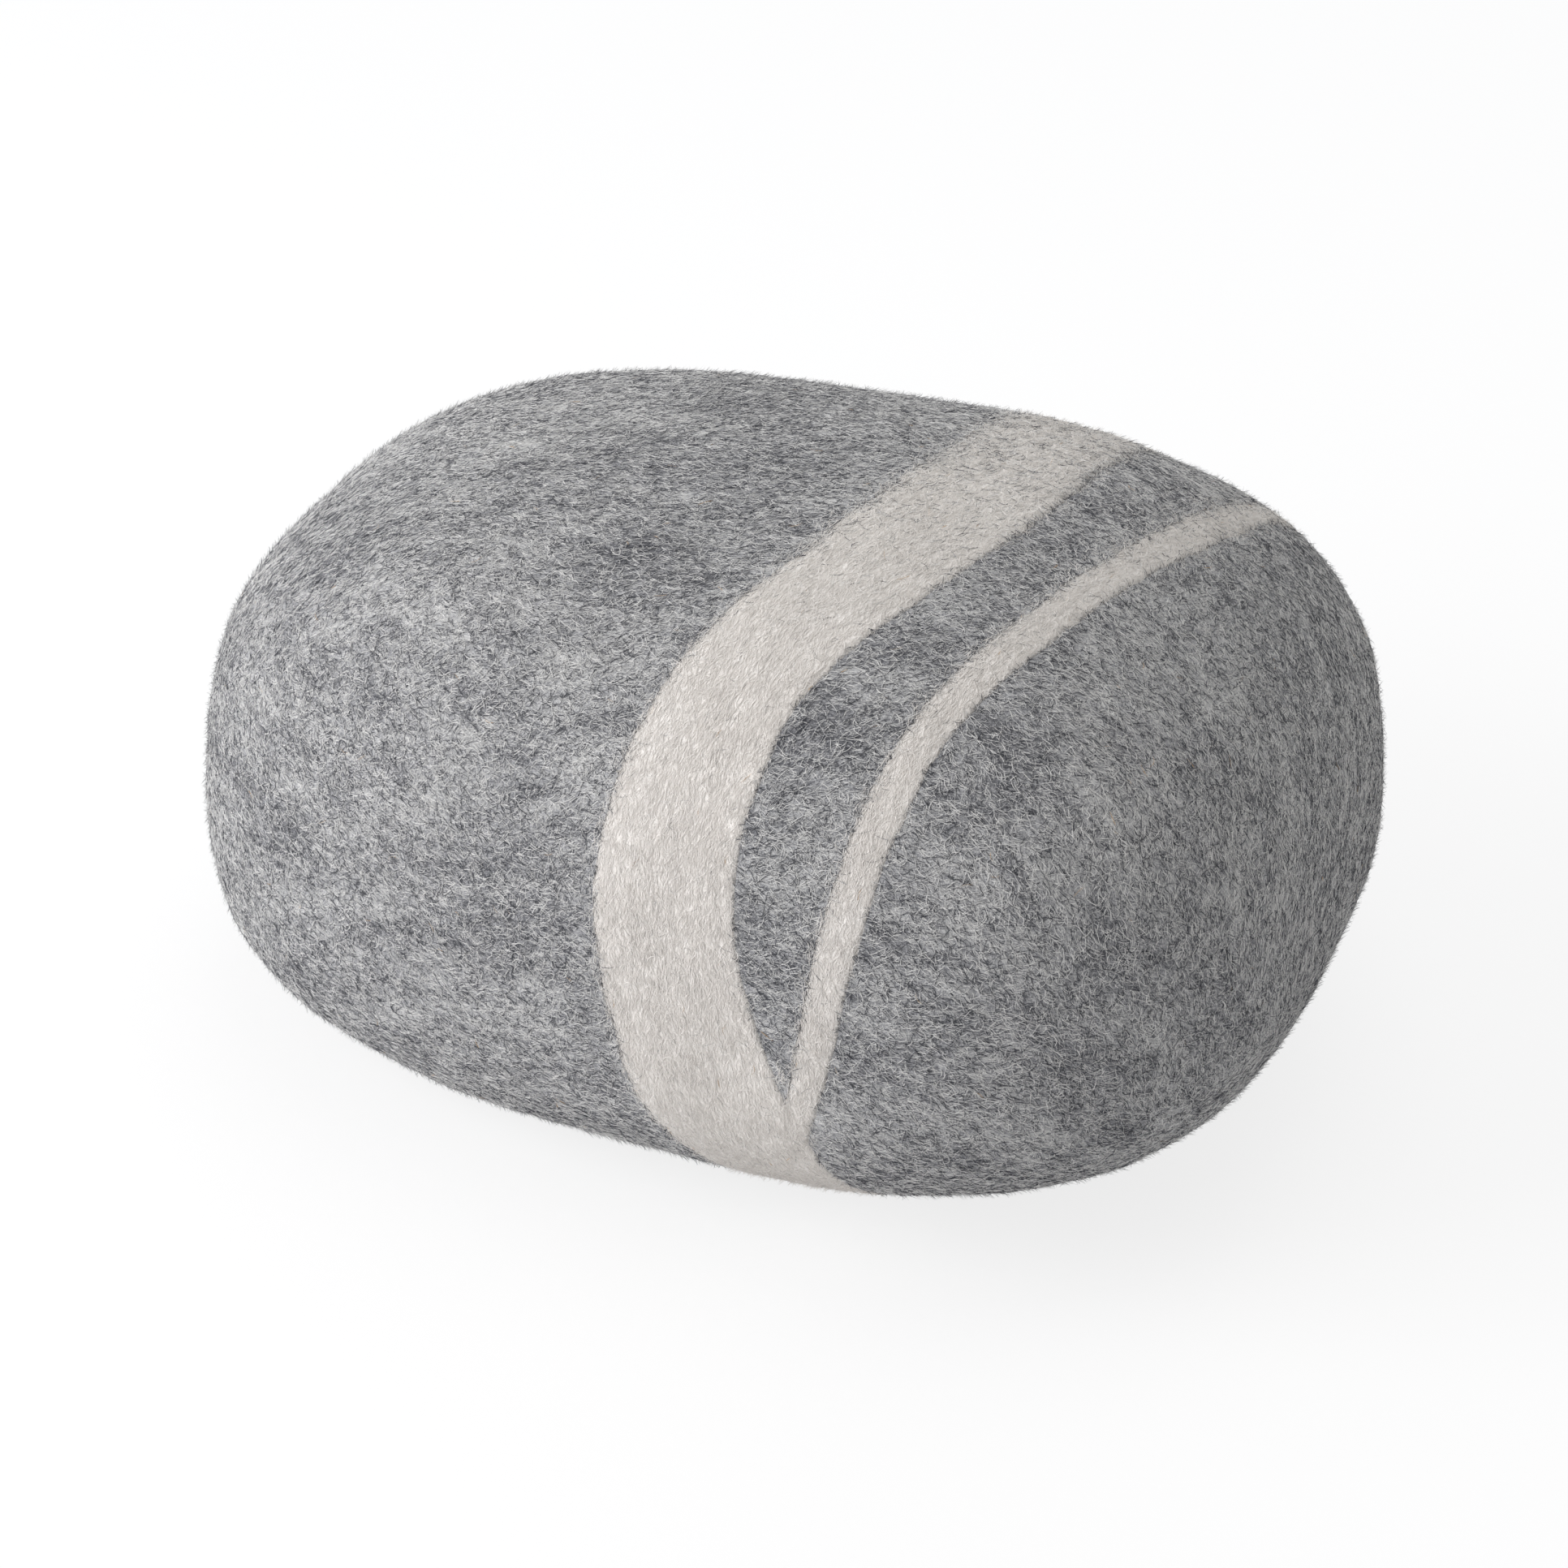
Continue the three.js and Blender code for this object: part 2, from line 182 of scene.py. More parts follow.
def press_flat(points, floor):
    """The belly pressed onto the floor, with a soft shoulder round the pressed face."""
    height = points[:, 2] - floor
    rounded = np.where(height > -SHOULDER, (height + SHOULDER) ** 2 / (4 * SHOULDER), 0)
    pressed = np.where(height < SHOULDER, rounded, height)
    return np.column_stack([points[:, :2], floor + pressed])


def normals_of(points, quads):
    """Unit normal at each vertex of a quad mesh."""
    a, b, c, d = (points[quads[:, i]] for i in range(4))
    face = np.cross(c - a, d - b)
    total = np.zeros_like(points)
    for i in range(4):
        np.add.at(total, quads[:, i], face)
    return unit(total)


def stone_layer(side, depth, floor, rough):
    """Points and quads of one layer of the stone."""
    directions, quads = sphere_grid(side)
    points = unit_stone(directions, depth / HALF_LENGTH) * HALF_LENGTH + CENTRE
    if rough:
        points = points + normals_of(points, quads) * relief(points)[:, None]
    return press_flat(points, floor), quads


def stone_level(points, depth=0.0):
    """1 on the smooth form's surface, less inside it; the steps of unit_stone undone in turn."""
    x, y, z = ((points - CENTRE) / HALF_LENGTH).T
    depth = depth / HALF_LENGTH
    z = z - END_LIFT * x
    along = x - PLAN_SHEAR * y
    y = y / (1 + WIDTH_TAPER * along)
    z = z / (1 + HEIGHT_TAPER * along + SIDE_LEAN * y / WIDTH_RATIO)
    power = np.where(z >= 0, CROWN_POWER, BELLY_POWER)
    half_height = np.where(z >= 0, CROWN_RATIO, BELLY_RATIO) - depth
    plan = (np.abs(along) / (1 - depth)) ** PLAN_POWER + (np.abs(y) / (WIDTH_RATIO - depth)) ** PLAN_POWER
    return plan ** (power / PLAN_POWER) + (np.abs(z) / half_height) ** power


HALVINGS = 32
CORNER_REACH = 1.2 * HALF_LENGTH  # further out than the corners of the stone's plan
SLOPE_STEP = 0.2 * MM


def where_rays_leave(ray_points, count, reach, depth=0.0):
    """Where rays leave a layer of the smooth form; ray_points gives their points at each one's radius."""
    inside = np.zeros(count)
    outside = np.full(count, reach)
    for _ in range(HALVINGS):
        radius = (inside + outside) / 2
        within = stone_level(ray_points(radius), depth) < 1
        inside = np.where(within, radius, inside)
        outside = np.where(within, outside, radius)
    return ray_points(inside)


def surface_at(x, angle):
    """The smooth form's surface and its normals at places x and angles round it (0 level at the front)."""
    up, front = np.sin(np.radians(angle)), -np.cos(np.radians(angle))
    points = where_rays_leave(
        lambda radius: np.column_stack([x, CENTRE[1] + radius * front, CENTRE[2] + radius * up]),
        len(x), HALF_LENGTH)
    steps = SLOPE_STEP * np.eye(3)
    slope = [stone_level(points + step) - stone_level(points - step) for step in steps]
    return points, unit(np.column_stack(slope))


def coordinates(mesh):
    """The places of a mesh's vertices."""
    points = np.empty(len(mesh.vertices) * 3)
    mesh.vertices.foreach_get("co", points)
    return points.reshape(-1, 3)


def triangles(mesh):
    """The first, second and third corners of each of a mesh's triangles."""
    mesh.calc_loop_triangles()
    corners = np.empty(len(mesh.loop_triangles) * 3, np.int32)
    mesh.loop_triangles.foreach_get("vertices", corners)
    return coordinates(mesh)[corners.reshape(-1, 3).T]


def in_scene(name, data):
    """A new object in the scene."""
    thing = bpy.data.objects.new(name, data)
    bpy.context.scene.collection.objects.link(thing)
    return thing


def mesh_object(name, points, faces, material=None):
    """A smooth-shaded mesh object; where it is closed, its faces point out."""
    mesh = bpy.data.meshes.new(name)
    mesh.from_pydata(np.asarray(points).tolist(), [], [list(map(int, face)) for face in faces])
    mesh.shade_smooth()
    if material:
        mesh.materials.append(material)
    a, b, c = triangles(mesh)
    volume = np.einsum("ij,ij->i", a, np.cross(b, c)).sum()
    if volume < 0:
        mesh.flip_normals()
    return in_scene(name, mesh)


def lofted(name, *solids, material=None, ring=False):
    """Closed solids in one mesh, each through a row (or a ring) of outlines with as many points each."""
    points, faces = [], []
    for sections in solids:
        sections = np.asarray(sections)
        index = np.arange(sections[..., 0].size).reshape(sections.shape[:2]) + sum(map(len, points))
        if ring:
            index = np.concatenate([index, index[:1]])
        else:
            faces += [index[0][::-1], index[-1]]
        after = np.roll(index, -1, axis=1)
        faces += list(np.stack([index[:-1], after[:-1], after[1:], index[1:]], -1).reshape(-1, 4))
        points.append(sections.reshape(-1, 3))
    return mesh_object(name, np.concatenate(points), faces, material)


ASKEW = (0.31, 0.52, 0.79)  # a direction that no thread runs in


def tube(path, radius, sides=8):
    """Sections of a round thread or wire along a path."""
    ahead = unit(np.gradient(path, axis=0))
    turn = np.linspace(0, 2 * math.pi, sides, endpoint=False)[:, None]
    side = np.cross(ahead[0], ASKEW)
    sections = []
    for point, direction in zip(path, ahead):
        side = unit(side - direction * (side @ direction))
        other = np.cross(direction, side)
        sections.append(point + radius * (np.cos(turn) * side + np.sin(turn) * other))
    return sections


def rounded_outline(half_width, half_height, corner, steps=5):
    """Points of a rectangle with rounded corners, centred on the origin."""
    turn = np.linspace(0, math.pi / 2, steps)
    points = []
    for quarter, (sign_u, sign_v) in enumerate([(1, 1), (-1, 1), (-1, -1), (1, -1)]):
        arc = turn + quarter * math.pi / 2
        u = sign_u * (half_width - corner) + corner * np.cos(arc)
        v = sign_v * (half_height - corner) + corner * np.sin(arc)
        points.append(np.column_stack([u, v]))
    return np.concatenate(points)


def block(low, high, corner):
    """A box with its upright edges rounded, to cut or keep with."""
    middle = (np.asarray(low) + np.asarray(high)) / 2
    half = (np.asarray(high) - np.asarray(low)) / 2
    outline = rounded_outline(half[0], half[1], corner) + middle[:2]
    return lofted("tool", [np.column_stack([outline, np.full(len(outline), z)]) for z in (low[2], high[2])])


def cut(piece, tool, operation="DIFFERENCE"):
    """Applies a boolean to piece and removes the tool."""
    modifier = piece.modifiers.new("cut", "BOOLEAN")
    modifier.operation = operation
    modifier.object = tool
    modifier.solver = "MANIFOLD"
    apply_modifiers(piece)
    bpy.data.objects.remove(tool)
    slots = piece.data.materials
    while len(slots) > 1:
        slots.pop()


def apply_modifiers(piece):
    """Bakes the modifiers of a piece into its mesh."""
    graph = bpy.context.evaluated_depsgraph_get()
    baked = bpy.data.meshes.new_from_object(piece.evaluated_get(graph))
    piece.modifiers.clear()
    piece.data = baked


def stands_for(piece, node, body=BODY):
    """Makes a finished piece ride on a body in place of a CAD node, which it hides."""
    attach(piece, body)
    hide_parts(node)
    return piece


def loft_node(node, stuff, *solids, **settings):
    """Lofts the piece that stands for a CAD node; what it is made of goes into its name."""
    stands_for(lofted(f"{node}_{stuff}", *solids, **settings), node)


# ---------- veins ----------
# Edges at even steps of angle round the stone, in millimetres along it. Haze is how much further the
# wool mixes on top than low on the front; hairs is the share of grey fibres strewn on the vein there.
VEIN_STATIONS = [-35, -10, 15, 40, 65, 90, 115, 140, 165, 190, 215]
FIRST_ANGLE = VEIN_STATIONS[0] - 20  # angles round the stone are counted from here, on its underside
WIDE = {
    "left": [98, 38, 13, 16, 42, 56, 62, 60, 54, 46, 44],
    "right": [172, 128, 89, 85, 112, 132, 135, 136, 131, 122, 118],
    "start": -35, "end": 212, "columns": 44, "rows": 420, "haze": 2.0, "hairs": 0.010,
}
NARROW = {
    "left": [60, 104, 124, 135, 156, 171, 184, 196, 205, 211, 211],
    "right": [75, 119, 143, 156, 176, 191, 204, 213, 217, 219, 219],
    "start": -12, "end": 188, "columns": 12, "rows": 340, "haze": 0.8, "hairs": 0.030,
}
GIRTH_RADIUS = HALF_LENGTH * CROWN_RATIO  # turns an angle round the stone into a run along a vein
VEIN_THICKNESS = 2.2 * MM
VEIN_RISE = 0.5 * MM  # how far the white wool stands over the grey
LEFT_DIP, LEFT_ROUND = 0.7 * MM, 4.0 * MM  # how far its rounded edges fall from there, and over what width
RIGHT_DIP, RIGHT_ROUND = 1.0 * MM, 1.2 * MM
UNDER_STEP = 4  # a vein's underside has one column for so many of its face's
RECESS_GAP = 0.3 * MM
RECESS_REACH = 4 * MM  # how far the cutters of the recesses stand over the surface
RAGGED_EDGE = [(22 * MM, 1.1 * MM), (7 * MM, 0.6 * MM)]
VEIN_TIP = math.radians(5.0) * GIRTH_RADIUS  # the run over which a vein's end closes
TIP_SHARE = 0.02  # of its width that is left at its very end
LOOSE_EDGE = 2.4 * MM  # how far white and grey wool mix along a vein's left edge
FIRM_EDGE = 0.8 * MM  # and along its right edge
EDGE_FADE = 0.5  # how much darker the white wool is where it thins out at its loose edge
FIRM_HAZE_POWER = 1.6  # haze widens the right edge faster than the left
TOP_FROM, TOP_TO = 45.0, 115.0  # degrees round the stone between which the veins grow hazier


def spline(values, angle):
    """A Catmull-Rom curve through values at the vein stations."""
    step = VEIN_STATIONS[1] - VEIN_STATIONS[0]
    place = np.clip((angle - VEIN_STATIONS[0]) / step, 0, len(values) - 1 - 1e-6)
    start = np.floor(place).astype(int)
    t = place - start
    padded = np.concatenate([[2 * values[0] - values[1]], values, [2 * values[-1] - values[-2]]])
    a, b, c, d = (padded[start + i] for i in range(4))
    return b + t * (c - a + t * (2 * a - 5 * b + 4 * c - d + t * (3 * (b - c) + d - a))) / 2


def from_ends(vein, angle):
    """How far each angle is from the nearer end of a vein, measured along the vein."""
    return np.radians(np.minimum(angle - vein["start"], vein["end"] - angle)) * GIRTH_RADIUS


def vein_edges(vein, angle):
    """The x of a vein's two edges at each angle: a little ragged, and closing round its two ends."""
    edges = []
    for i, side in enumerate(("left", "right")):
        x = spline(vein[side], angle) * MM
        run = np.column_stack([np.radians(angle) * GIRTH_RADIUS, x * 0, x * 0])
        edges.append(x + sum(h * noise(run, size, SEEDS["edges"] + i) for size, h in RAGGED_EDGE))
    closing = 1 - np.clip(from_ends(vein, angle) / VEIN_TIP, 0, 1)
    opening = np.sqrt(1 - closing ** 2)
    middle, half = (edges[0] + edges[1]) / 2, (edges[1] - edges[0]) / 2 * np.maximum(opening, TIP_SHARE)
    return middle - half, middle + half


def vein_band(name, vein, grow, outer, inner, material=None):
    """The band between a vein's edges; outer(left, right) is its height that far from each edge."""
    columns, rows = vein["columns"], vein["rows"]
    grow_angle = math.degrees(grow / GIRTH_RADIUS)
    angle = np.linspace(vein["start"] - grow_angle, vein["end"] + grow_angle, rows + 1)
    left, right = vein_edges(vein, angle)
    share = np.linspace(0, 1, columns + 1)
    share = np.concatenate([share, share[::-UNDER_STEP]])
    lower = np.arange(len(share)) > columns
    x = left[:, None] - grow + share * (right - left + 2 * grow)[:, None]
    angles = np.broadcast_to(angle[:, None], x.shape)
    base, normal = surface_at(x.ravel(), angles.ravel())
    tip = np.maximum(from_ends(vein, angle), 0)[:, None]
    from_left = np.minimum(share * (right - left)[:, None], tip)
    from_right = np.minimum((1 - share) * (right - left)[:, None], tip)
    height = np.where(lower, inner, outer(from_left, from_right))
    points = base + normal * (relief(base) + height.ravel())[:, None]
    return lofted(name, press_flat(points, 0.0).reshape(rows + 1, -1, 3), material=material)


def vein_top(from_left, from_right):
    """Height of the white wool over the grey: felted flush on the left, a firm lip on the right."""
    left_dip = LEFT_DIP * np.exp(-from_left / LEFT_ROUND)
    return VEIN_RISE - left_dip - RIGHT_DIP * np.exp(-from_right / RIGHT_ROUND)


def girth_angle(points):
    """Degrees round the long axis: 0 level at the front, 90 on top."""
    offset = points - CENTRE
    angle = np.degrees(np.arctan2(offset[:, 2], -offset[:, 1]))
    return np.where(angle < FIRST_ANGLE, angle + 360, angle)


def vein_depths(points):
    """How far inside each vein's left and right edges every point is; negative outside the vein."""
    angle = girth_angle(points)
    depths = []
    for vein in (WIDE, NARROW):
        left, right = vein_edges(vein, angle)
        tip = from_ends(vein, angle)
        depths.append((np.minimum(points[:, 0] - left, tip), np.minimum(right - points[:, 0], tip)))
    return depths


def haze(points, vein):
    """How many times further a vein's wool mixes with the grey at each point than low on the front."""
    return 1 + vein["haze"] * np.clip((girth_angle(points) - TOP_FROM) / (TOP_TO - TOP_FROM), 0, 1)


def edge_widths(mixing):
    """How far the wools mix along a vein's left and right edges where the haze is this many times."""
    return LOOSE_EDGE * mixing, FIRM_EDGE * mixing ** FIRM_HAZE_POWER


# ---------- materials ----------
class Shader:
    """A node material with a Principled BSDF, built up node by node."""

    def __init__(self, name):
        self.material = bpy.data.materials.new(name)
        self.material.use_nodes = True
        self.tree = self.material.node_tree
        self.surface = self.tree.nodes["Principled BSDF"]
        point = self.node("TexCoord").outputs["Object"]
        millimetres = self.node("VectorMath", {0: point, "Scale": 1 / MM}, operation="SCALE")
        self.place = millimetres.outputs[0]

    def node(self, kind, inputs=(), **settings):
        """A new node; inputs maps a socket's name or number to a value or to another node's output."""
        made = self.tree.nodes.new("ShaderNode" + kind)
        for key, value in settings.items():
            setattr(made, key, value)
        for key, value in dict(inputs).items():
            self.put(made.inputs[key], value)
        return made

    def put(self, socket, value):
        """Gives a socket a value or a link."""
        if isinstance(value, bpy.types.NodeSocket):
            self.tree.links.new(value, socket)
        else:
            socket.default_value = value

    def math(self, operation, *values):
        return self.node("Math", dict(enumerate(values)), operation=operation).outputs[0]

    def scaled(self, value, factor, plus=0.0):
        """A value times a factor, and more added to it."""
        return self.math("MULTIPLY_ADD", value, factor, plus)

    def axes(self):
        """The X, Y and Z of the surface point."""
        return self.node("SeparateXYZ", {0: self.place}).outputs

    def stretched(self, scale):
        """The surface point with its axes scaled, so that what is drawn there is drawn out."""
        return self.node("Mapping", {0: self.place, "Scale": scale}).outputs[0]

    def noise(self, size, detail=2.0, distortion=0.0, place=None):
        """Noise with lumps about size millimetres across."""
        inputs = {
            "Vector": place or self.place, "Scale": 1.0 / size, "Detail": detail, "Distortion": distortion,
        }
        return self.node("TexNoise", inputs, noise_type="FBM").outputs[0]

    def ramp(self, value, stops):
        """Colours between stops of (place, colour)."""
        made = self.node("ValToRGB", {0: value})
        elements = made.color_ramp.elements
        elements[0].position, elements[0].color = stops[0][0], (*stops[0][1], 1)
        elements[1].position, elements[1].color = stops[-1][0], (*stops[-1][1], 1)
        for place, colour in stops[1:-1]:
            elements.new(place).color = (*colour, 1)
        return made.outputs[0]

    def mix(self, share, a, b, blend="MIX"):
        made = self.node("Mix", data_type="RGBA", blend_type=blend)
        for key, value in (("Factor", share), ("A", a), ("B", b)):
            index = {"Factor": 0, "A": 6, "B": 7}[key]
            self.put(made.inputs[index], (*value, 1) if isinstance(value, tuple) else value)
        return made.outputs[2]

    def ribs(self, place, pitch):
        """Even ribs across a coordinate, that many millimetres apart."""
        return self.math("SINE", self.math("MULTIPLY", place, 2 * math.pi / pitch))

    def attribute(self, name):
        return self.node("Attribute", attribute_name=name).outputs["Fac"]

    def finish(self, colour, roughness, height=None, distance=0.3, shine=0.2, **settings):
        """Sets the surface from a colour, a roughness, a height and Principled settings."""
        settings = {
            "Base Color": colour, "Roughness": roughness, "Specular IOR Level": shine, **settings,
        }
        for key, value in settings.items():
            self.put(self.surface.inputs[key], value)
        if height is not None:
            bump = self.node("Bump", {"Height": height, "Distance": distance * MM})
            self.put(self.surface.inputs["Normal"], bump.outputs[0])
        return self.material


GREY_STOPS = [
    (0.0, (0.065, 0.067, 0.077)), (0.3, (0.195, 0.197, 0.21)), (0.55, (0.385, 0.386, 0.396)),
    (0.8, (0.56, 0.558, 0.556)), (1.0, (0.70, 0.692, 0.68)),
]
WHITE_STOPS = [
    (0.0, (0.34, 0.323, 0.308)), (0.35, (0.62, 0.590, 0.562)), (0.7, (0.76, 0.729, 0.698)),
    (1.0, (0.84, 0.817, 0.793)),
]


# Directions that the felt's fibres run in, as turns about X, Y and Z in degrees.
FIBRE_TURNS = [(0, 8, 12), (0, -14, -38), (0, 32, 55), (0, 78, 10)]
FIBRE_STRETCH = 9.0  # how many times longer than wide they are
FIBRES_OVER_FLECKS = 6.0
STRAW = (0.52, 0.36, 0.21)


def felt_material(name, stops, fleck_strength):
    """Wet-felted wool: tone from the mesh, with flecks and crossed fine fibres over it."""
    shader = Shader(name)
    fibres = 0.0
    for turns in FIBRE_TURNS:
        mapping = {
            0: shader.place, "Rotation": [math.radians(turn) for turn in turns],
            "Scale": (FIBRE_STRETCH, 1.0, 1.0),
        }
        drawn_out = shader.node("Mapping", mapping, vector_type="TEXTURE").outputs[0]
        fibres = shader.math("ADD", shader.noise(0.75, distortion=0.35, place=drawn_out), fibres)
    fibres = shader.scaled(fibres, 1 / len(FIBRE_TURNS), -0.5)
    flecks = shader.math("SUBTRACT", shader.noise(3.2, 3.0, distortion=0.8), 0.5)
    tone = shader.scaled(flecks, fleck_strength, shader.attribute("tone"))
    tone = shader.scaled(fibres, fleck_strength * FIBRES_OVER_FLECKS, tone)
    sheen = {"Sheen Weight": 0.25, "Sheen Roughness": 0.4}
    return shader.finish(
        shader.ramp(tone, stops), 0.95, height=fibres, distance=1.6, shine=0.15, **sheen)


def fibre_material(name):
    """The loose fibres: each strand has its own tone, and white strands their own colours."""
    shader = Shader(name)
    grey = shader.ramp(shader.attribute("tone"), GREY_STOPS)
    white = shader.ramp(shader.attribute("tone"), WHITE_STOPS)
    colour = shader.mix(shader.attribute("whiteness"), grey, white)
    colour = shader.mix(shader.attribute("stray"), colour, STRAW)
    return shader.finish(colour, 0.8)


# ---------- the felt's marl ----------
FLOW_LEAN = 6.0  # degrees that the wool rises above the long way of the stone
FLOW_WANDER = [(95 * MM, 36.0), (34 * MM, 18.0)]  # sizes of its swirls and how far they turn it
# Where along the stone the wool begins to turn across it, where it has turned, and how far, in degrees.
RIGHT_SWIRL = (0.30, 1.0, -80.0)
LEFT_SWIRL = (0.80, 1.0, 70.0)
# (size of the lumps, how far they are drawn out along the flow, how much they change the tone)
STREAKS = [(14 * MM, 26 * MM, 0.27), (6 * MM, 12 * MM, 0.23), (2.4 * MM, 8 * MM, 0.23)]
PATCHES = [(90 * MM, 0.05), (38 * MM, 0.09)]
WHITE_TONE = 0.68
WHITE_PATCHES = [(30 * MM, 0.08), (8 * MM, 0.07)]


def flow_at(points, normals):
    """The way the wool lies: along the stone, swirling round its ends, and wandering all over."""
    lengthwise = unit(LENGTHWAYS - normals * (normals @ LENGTHWAYS)[:, None])
    sideways = np.cross(normals, lengthwise)
    place = (points[:, 0] - CENTRE[0]) / HALF_LENGTH
    turn = FLOW_LEAN + layered(points, FLOW_WANDER, "flow")
    for direction, (start, end, angle) in ((1, RIGHT_SWIRL), (-1, LEFT_SWIRL)):
        turn = turn + angle * np.clip((direction * place - start) / (end - start), 0, 1)
    turn = np.radians(turn)
    return lengthwise * np.cos(turn)[:, None] + sideways * np.sin(turn)[:, None]


def grey_tone(points, flow):
    """0 for the darkest grey wool to 1 for the lightest, in streaks drawn out along the flow."""
    tone = 0.5 + layered(points, PATCHES, "patches")
    steps = np.linspace(-1, 1, 9)
    for i, (size, reach, change) in enumerate(STREAKS):
        seed = SEEDS["streaks"] + i
        streak = sum(noise(points + flow * reach * step, size, seed) for step in steps) / len(steps)
        tone = tone + change * streak
    return tone


def white_tone(points):
    """The same for the white wool, which is more even."""
    return WHITE_TONE + layered(points, WHITE_PATCHES, "white")


def set_tone(piece, tone_of):
    """Stores the tone at each vertex of a mesh for its material."""
    mesh = piece.data
    normals = np.empty(len(mesh.vertices) * 3)
    mesh.vertex_normals.foreach_get("vector", normals)
    tones = tone_of(coordinates(mesh), normals.reshape(-1, 3))
    attribute = mesh.attributes.new("tone", "FLOAT", "POINT")
    attribute.data.foreach_set("value", tones.astype(np.float32))


# ---------- the felt cover and its veins ----------
TAPE_LOW, TAPE_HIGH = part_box("zip_tape_left")
TAPE_BEYOND = 15 * MM  # how far the tapes run on past each end of the slit
SLIT_CENTRE = (TAPE_LOW.x + TAPE_HIGH.x) / 2
SLIT_LENGTH = TAPE_HIGH.x - TAPE_LOW.x - 2 * TAPE_BEYOND
SLIT_WIDTH = 16 * MM
SLIT_ROUND = 0.999  # share of its half width that its ends are rounded by
SEAM_NODES = ["stitch_row_left", "stitch_row_right", "bar_tack_open_end", "bar_tack_closed_end"]
STITCH_POCKET = 0.8 * MM  # how deep the stitches press into the outer face
STITCH_MARGIN = 0.35 * MM
TOOL_DEPTH = 5 * MM  # how far cutters start below the floor
CRISP = {"felt": 50, "metal": 40, "cloth": 60}  # the least bend in degrees that is shaded as an edge

grey_felt = felt_material("grey_felt", GREY_STOPS, 0.4)
white_felt = felt_material("white_felt", WHITE_STOPS, 0.3)
fibre_wool = fibre_material("felt_fibres")


def smooth(piece, stuff):
    """Shades a piece smooth, but for its edges."""
    piece.data.shade_smooth()
    piece.data.set_sharp_from_angle(angle=math.radians(CRISP[stuff]))


def below(node, grow):
    """A cutter for the pocket in the cover's face where a node's stitches show."""
    low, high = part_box(node)
    low = (low.x - grow, low.y - grow, -TOOL_DEPTH)
    return block(low, (high.x + grow, high.y + grow, STITCH_POCKET), grow)


def slit_tool():
    """The prism that opens the zip's slit."""
    reach, half_width = SLIT_LENGTH / 2, SLIT_WIDTH / 2
    low = (SLIT_CENTRE - reach, -half_width, -TOOL_DEPTH)
    high = (SLIT_CENTRE + reach, half_width, FELT_THICKNESS + TOOL_DEPTH)
    return block(low, high, half_width * SLIT_ROUND)


def felt_cover():
    """The seamless cover: a thick shell with a slit underneath and shallow recesses for the veins."""
    points, quads = stone_layer(FELT_SIDE, 0.0, 0.0, rough=True)
    cover = mesh_object("felt_cover_wool", points, quads, grey_felt)
    hollow = stone_layer(HOLLOW_SIDE, FELT_THICKNESS, FELT_THICKNESS, rough=False)
    inside = mesh_object("inside_tool", *hollow)
    depth = -(VEIN_THICKNESS + RECESS_GAP)
    recesses = [
        vein_band("recess_tool", vein, RECESS_GAP, lambda left, right: RECESS_REACH + 0 * left, depth)
        for vein in (WIDE, NARROW)
    ]
    pockets = [below(node, STITCH_MARGIN) for node in SEAM_NODES]
    for tool in [inside, slit_tool(), *recesses, *pockets]:
        cut(cover, tool)
    smooth(cover, "felt")
    set_tone(cover, lambda p, n: grey_tone(p, flow_at(p, n)))
    return stands_for(cover, "felt_cover")


def vein_piece(node, vein):
    """One white vein, felted into its recess."""
    piece = vein_band(node + "_wool", vein, 0.0, vein_top, -VEIN_THICKNESS, white_felt)

    def tone(points, normals):
        left, right = vein_depths(points)[(WIDE, NARROW).index(vein)]
        mixing = haze(points, vein)
        loose, firm = edge_widths(mixing)
        thin = np.exp(-np.maximum(left, 0) / loose) + np.exp(-np.maximum(right, 0) / firm) * (mixing - 1)
        return white_tone(points) - EDGE_FADE * np.minimum(thin, 1)

    set_tone(piece, tone)
    return stands_for(piece, node)


cover = felt_cover()
wide_vein = vein_piece("wide_white_vein", WIDE)
narrow_vein = vein_piece("narrow_white_vein", NARROW)


# ---------- the zip ----------
def thread_material():
    """Twisted polyester sewing thread."""
    shader = Shader("thread")
    wave = {"Vector": shader.place, "Scale": 1.1, "Distortion": 0.6}
    twist = shader.node("TexWave", wave, bands_direction="DIAGONAL").outputs[1]
    tone = shader.scaled(shader.noise(0.25, 3.0), 0.5, shader.scaled(twist, 0.5))
    colour = shader.ramp(tone, [(0.15, (0.14, 0.14, 0.15)), (0.85, (0.40, 0.40, 0.415))])
    return shader.finish(colour, 0.6, height=twist, distance=0.1, shine=0.35)


def tape_material():
    """Herringbone polyester tape: twill lines that turn back every few millimetres across it."""
    shader = Shader("zip_tape")
    x, y, _ = shader.axes()
    fold = shader.math("PINGPONG", y, 1.7)
    twill = shader.ribs(shader.math("ADD", x, fold), 0.75)
    tone = shader.scaled(twill, 0.22, shader.scaled(shader.noise(0.35), 0.5, 0.25))
    colour = shader.ramp(tone, [(0.1, (0.085, 0.086, 0.09)), (0.9, (0.31, 0.31, 0.32))])
    return shader.finish(colour, 0.8, height=tone, distance=0.12, **{"Sheen Weight": 0.1})


def coil_material():
    """Grey nylon monofilament, a little translucent."""
    shader = Shader("zip_coil")
    scuff = shader.noise(0.3)
    colour = shader.ramp(shader.noise(2.5, 3.0), [(0.3, (0.22, 0.22, 0.235)), (0.7, (0.38, 0.38, 0.40))])
    rough = shader.scaled(scuff, 0.25, 0.25)
    return shader.finish(colour, rough, height=scuff, distance=0.02, shine=0.5)


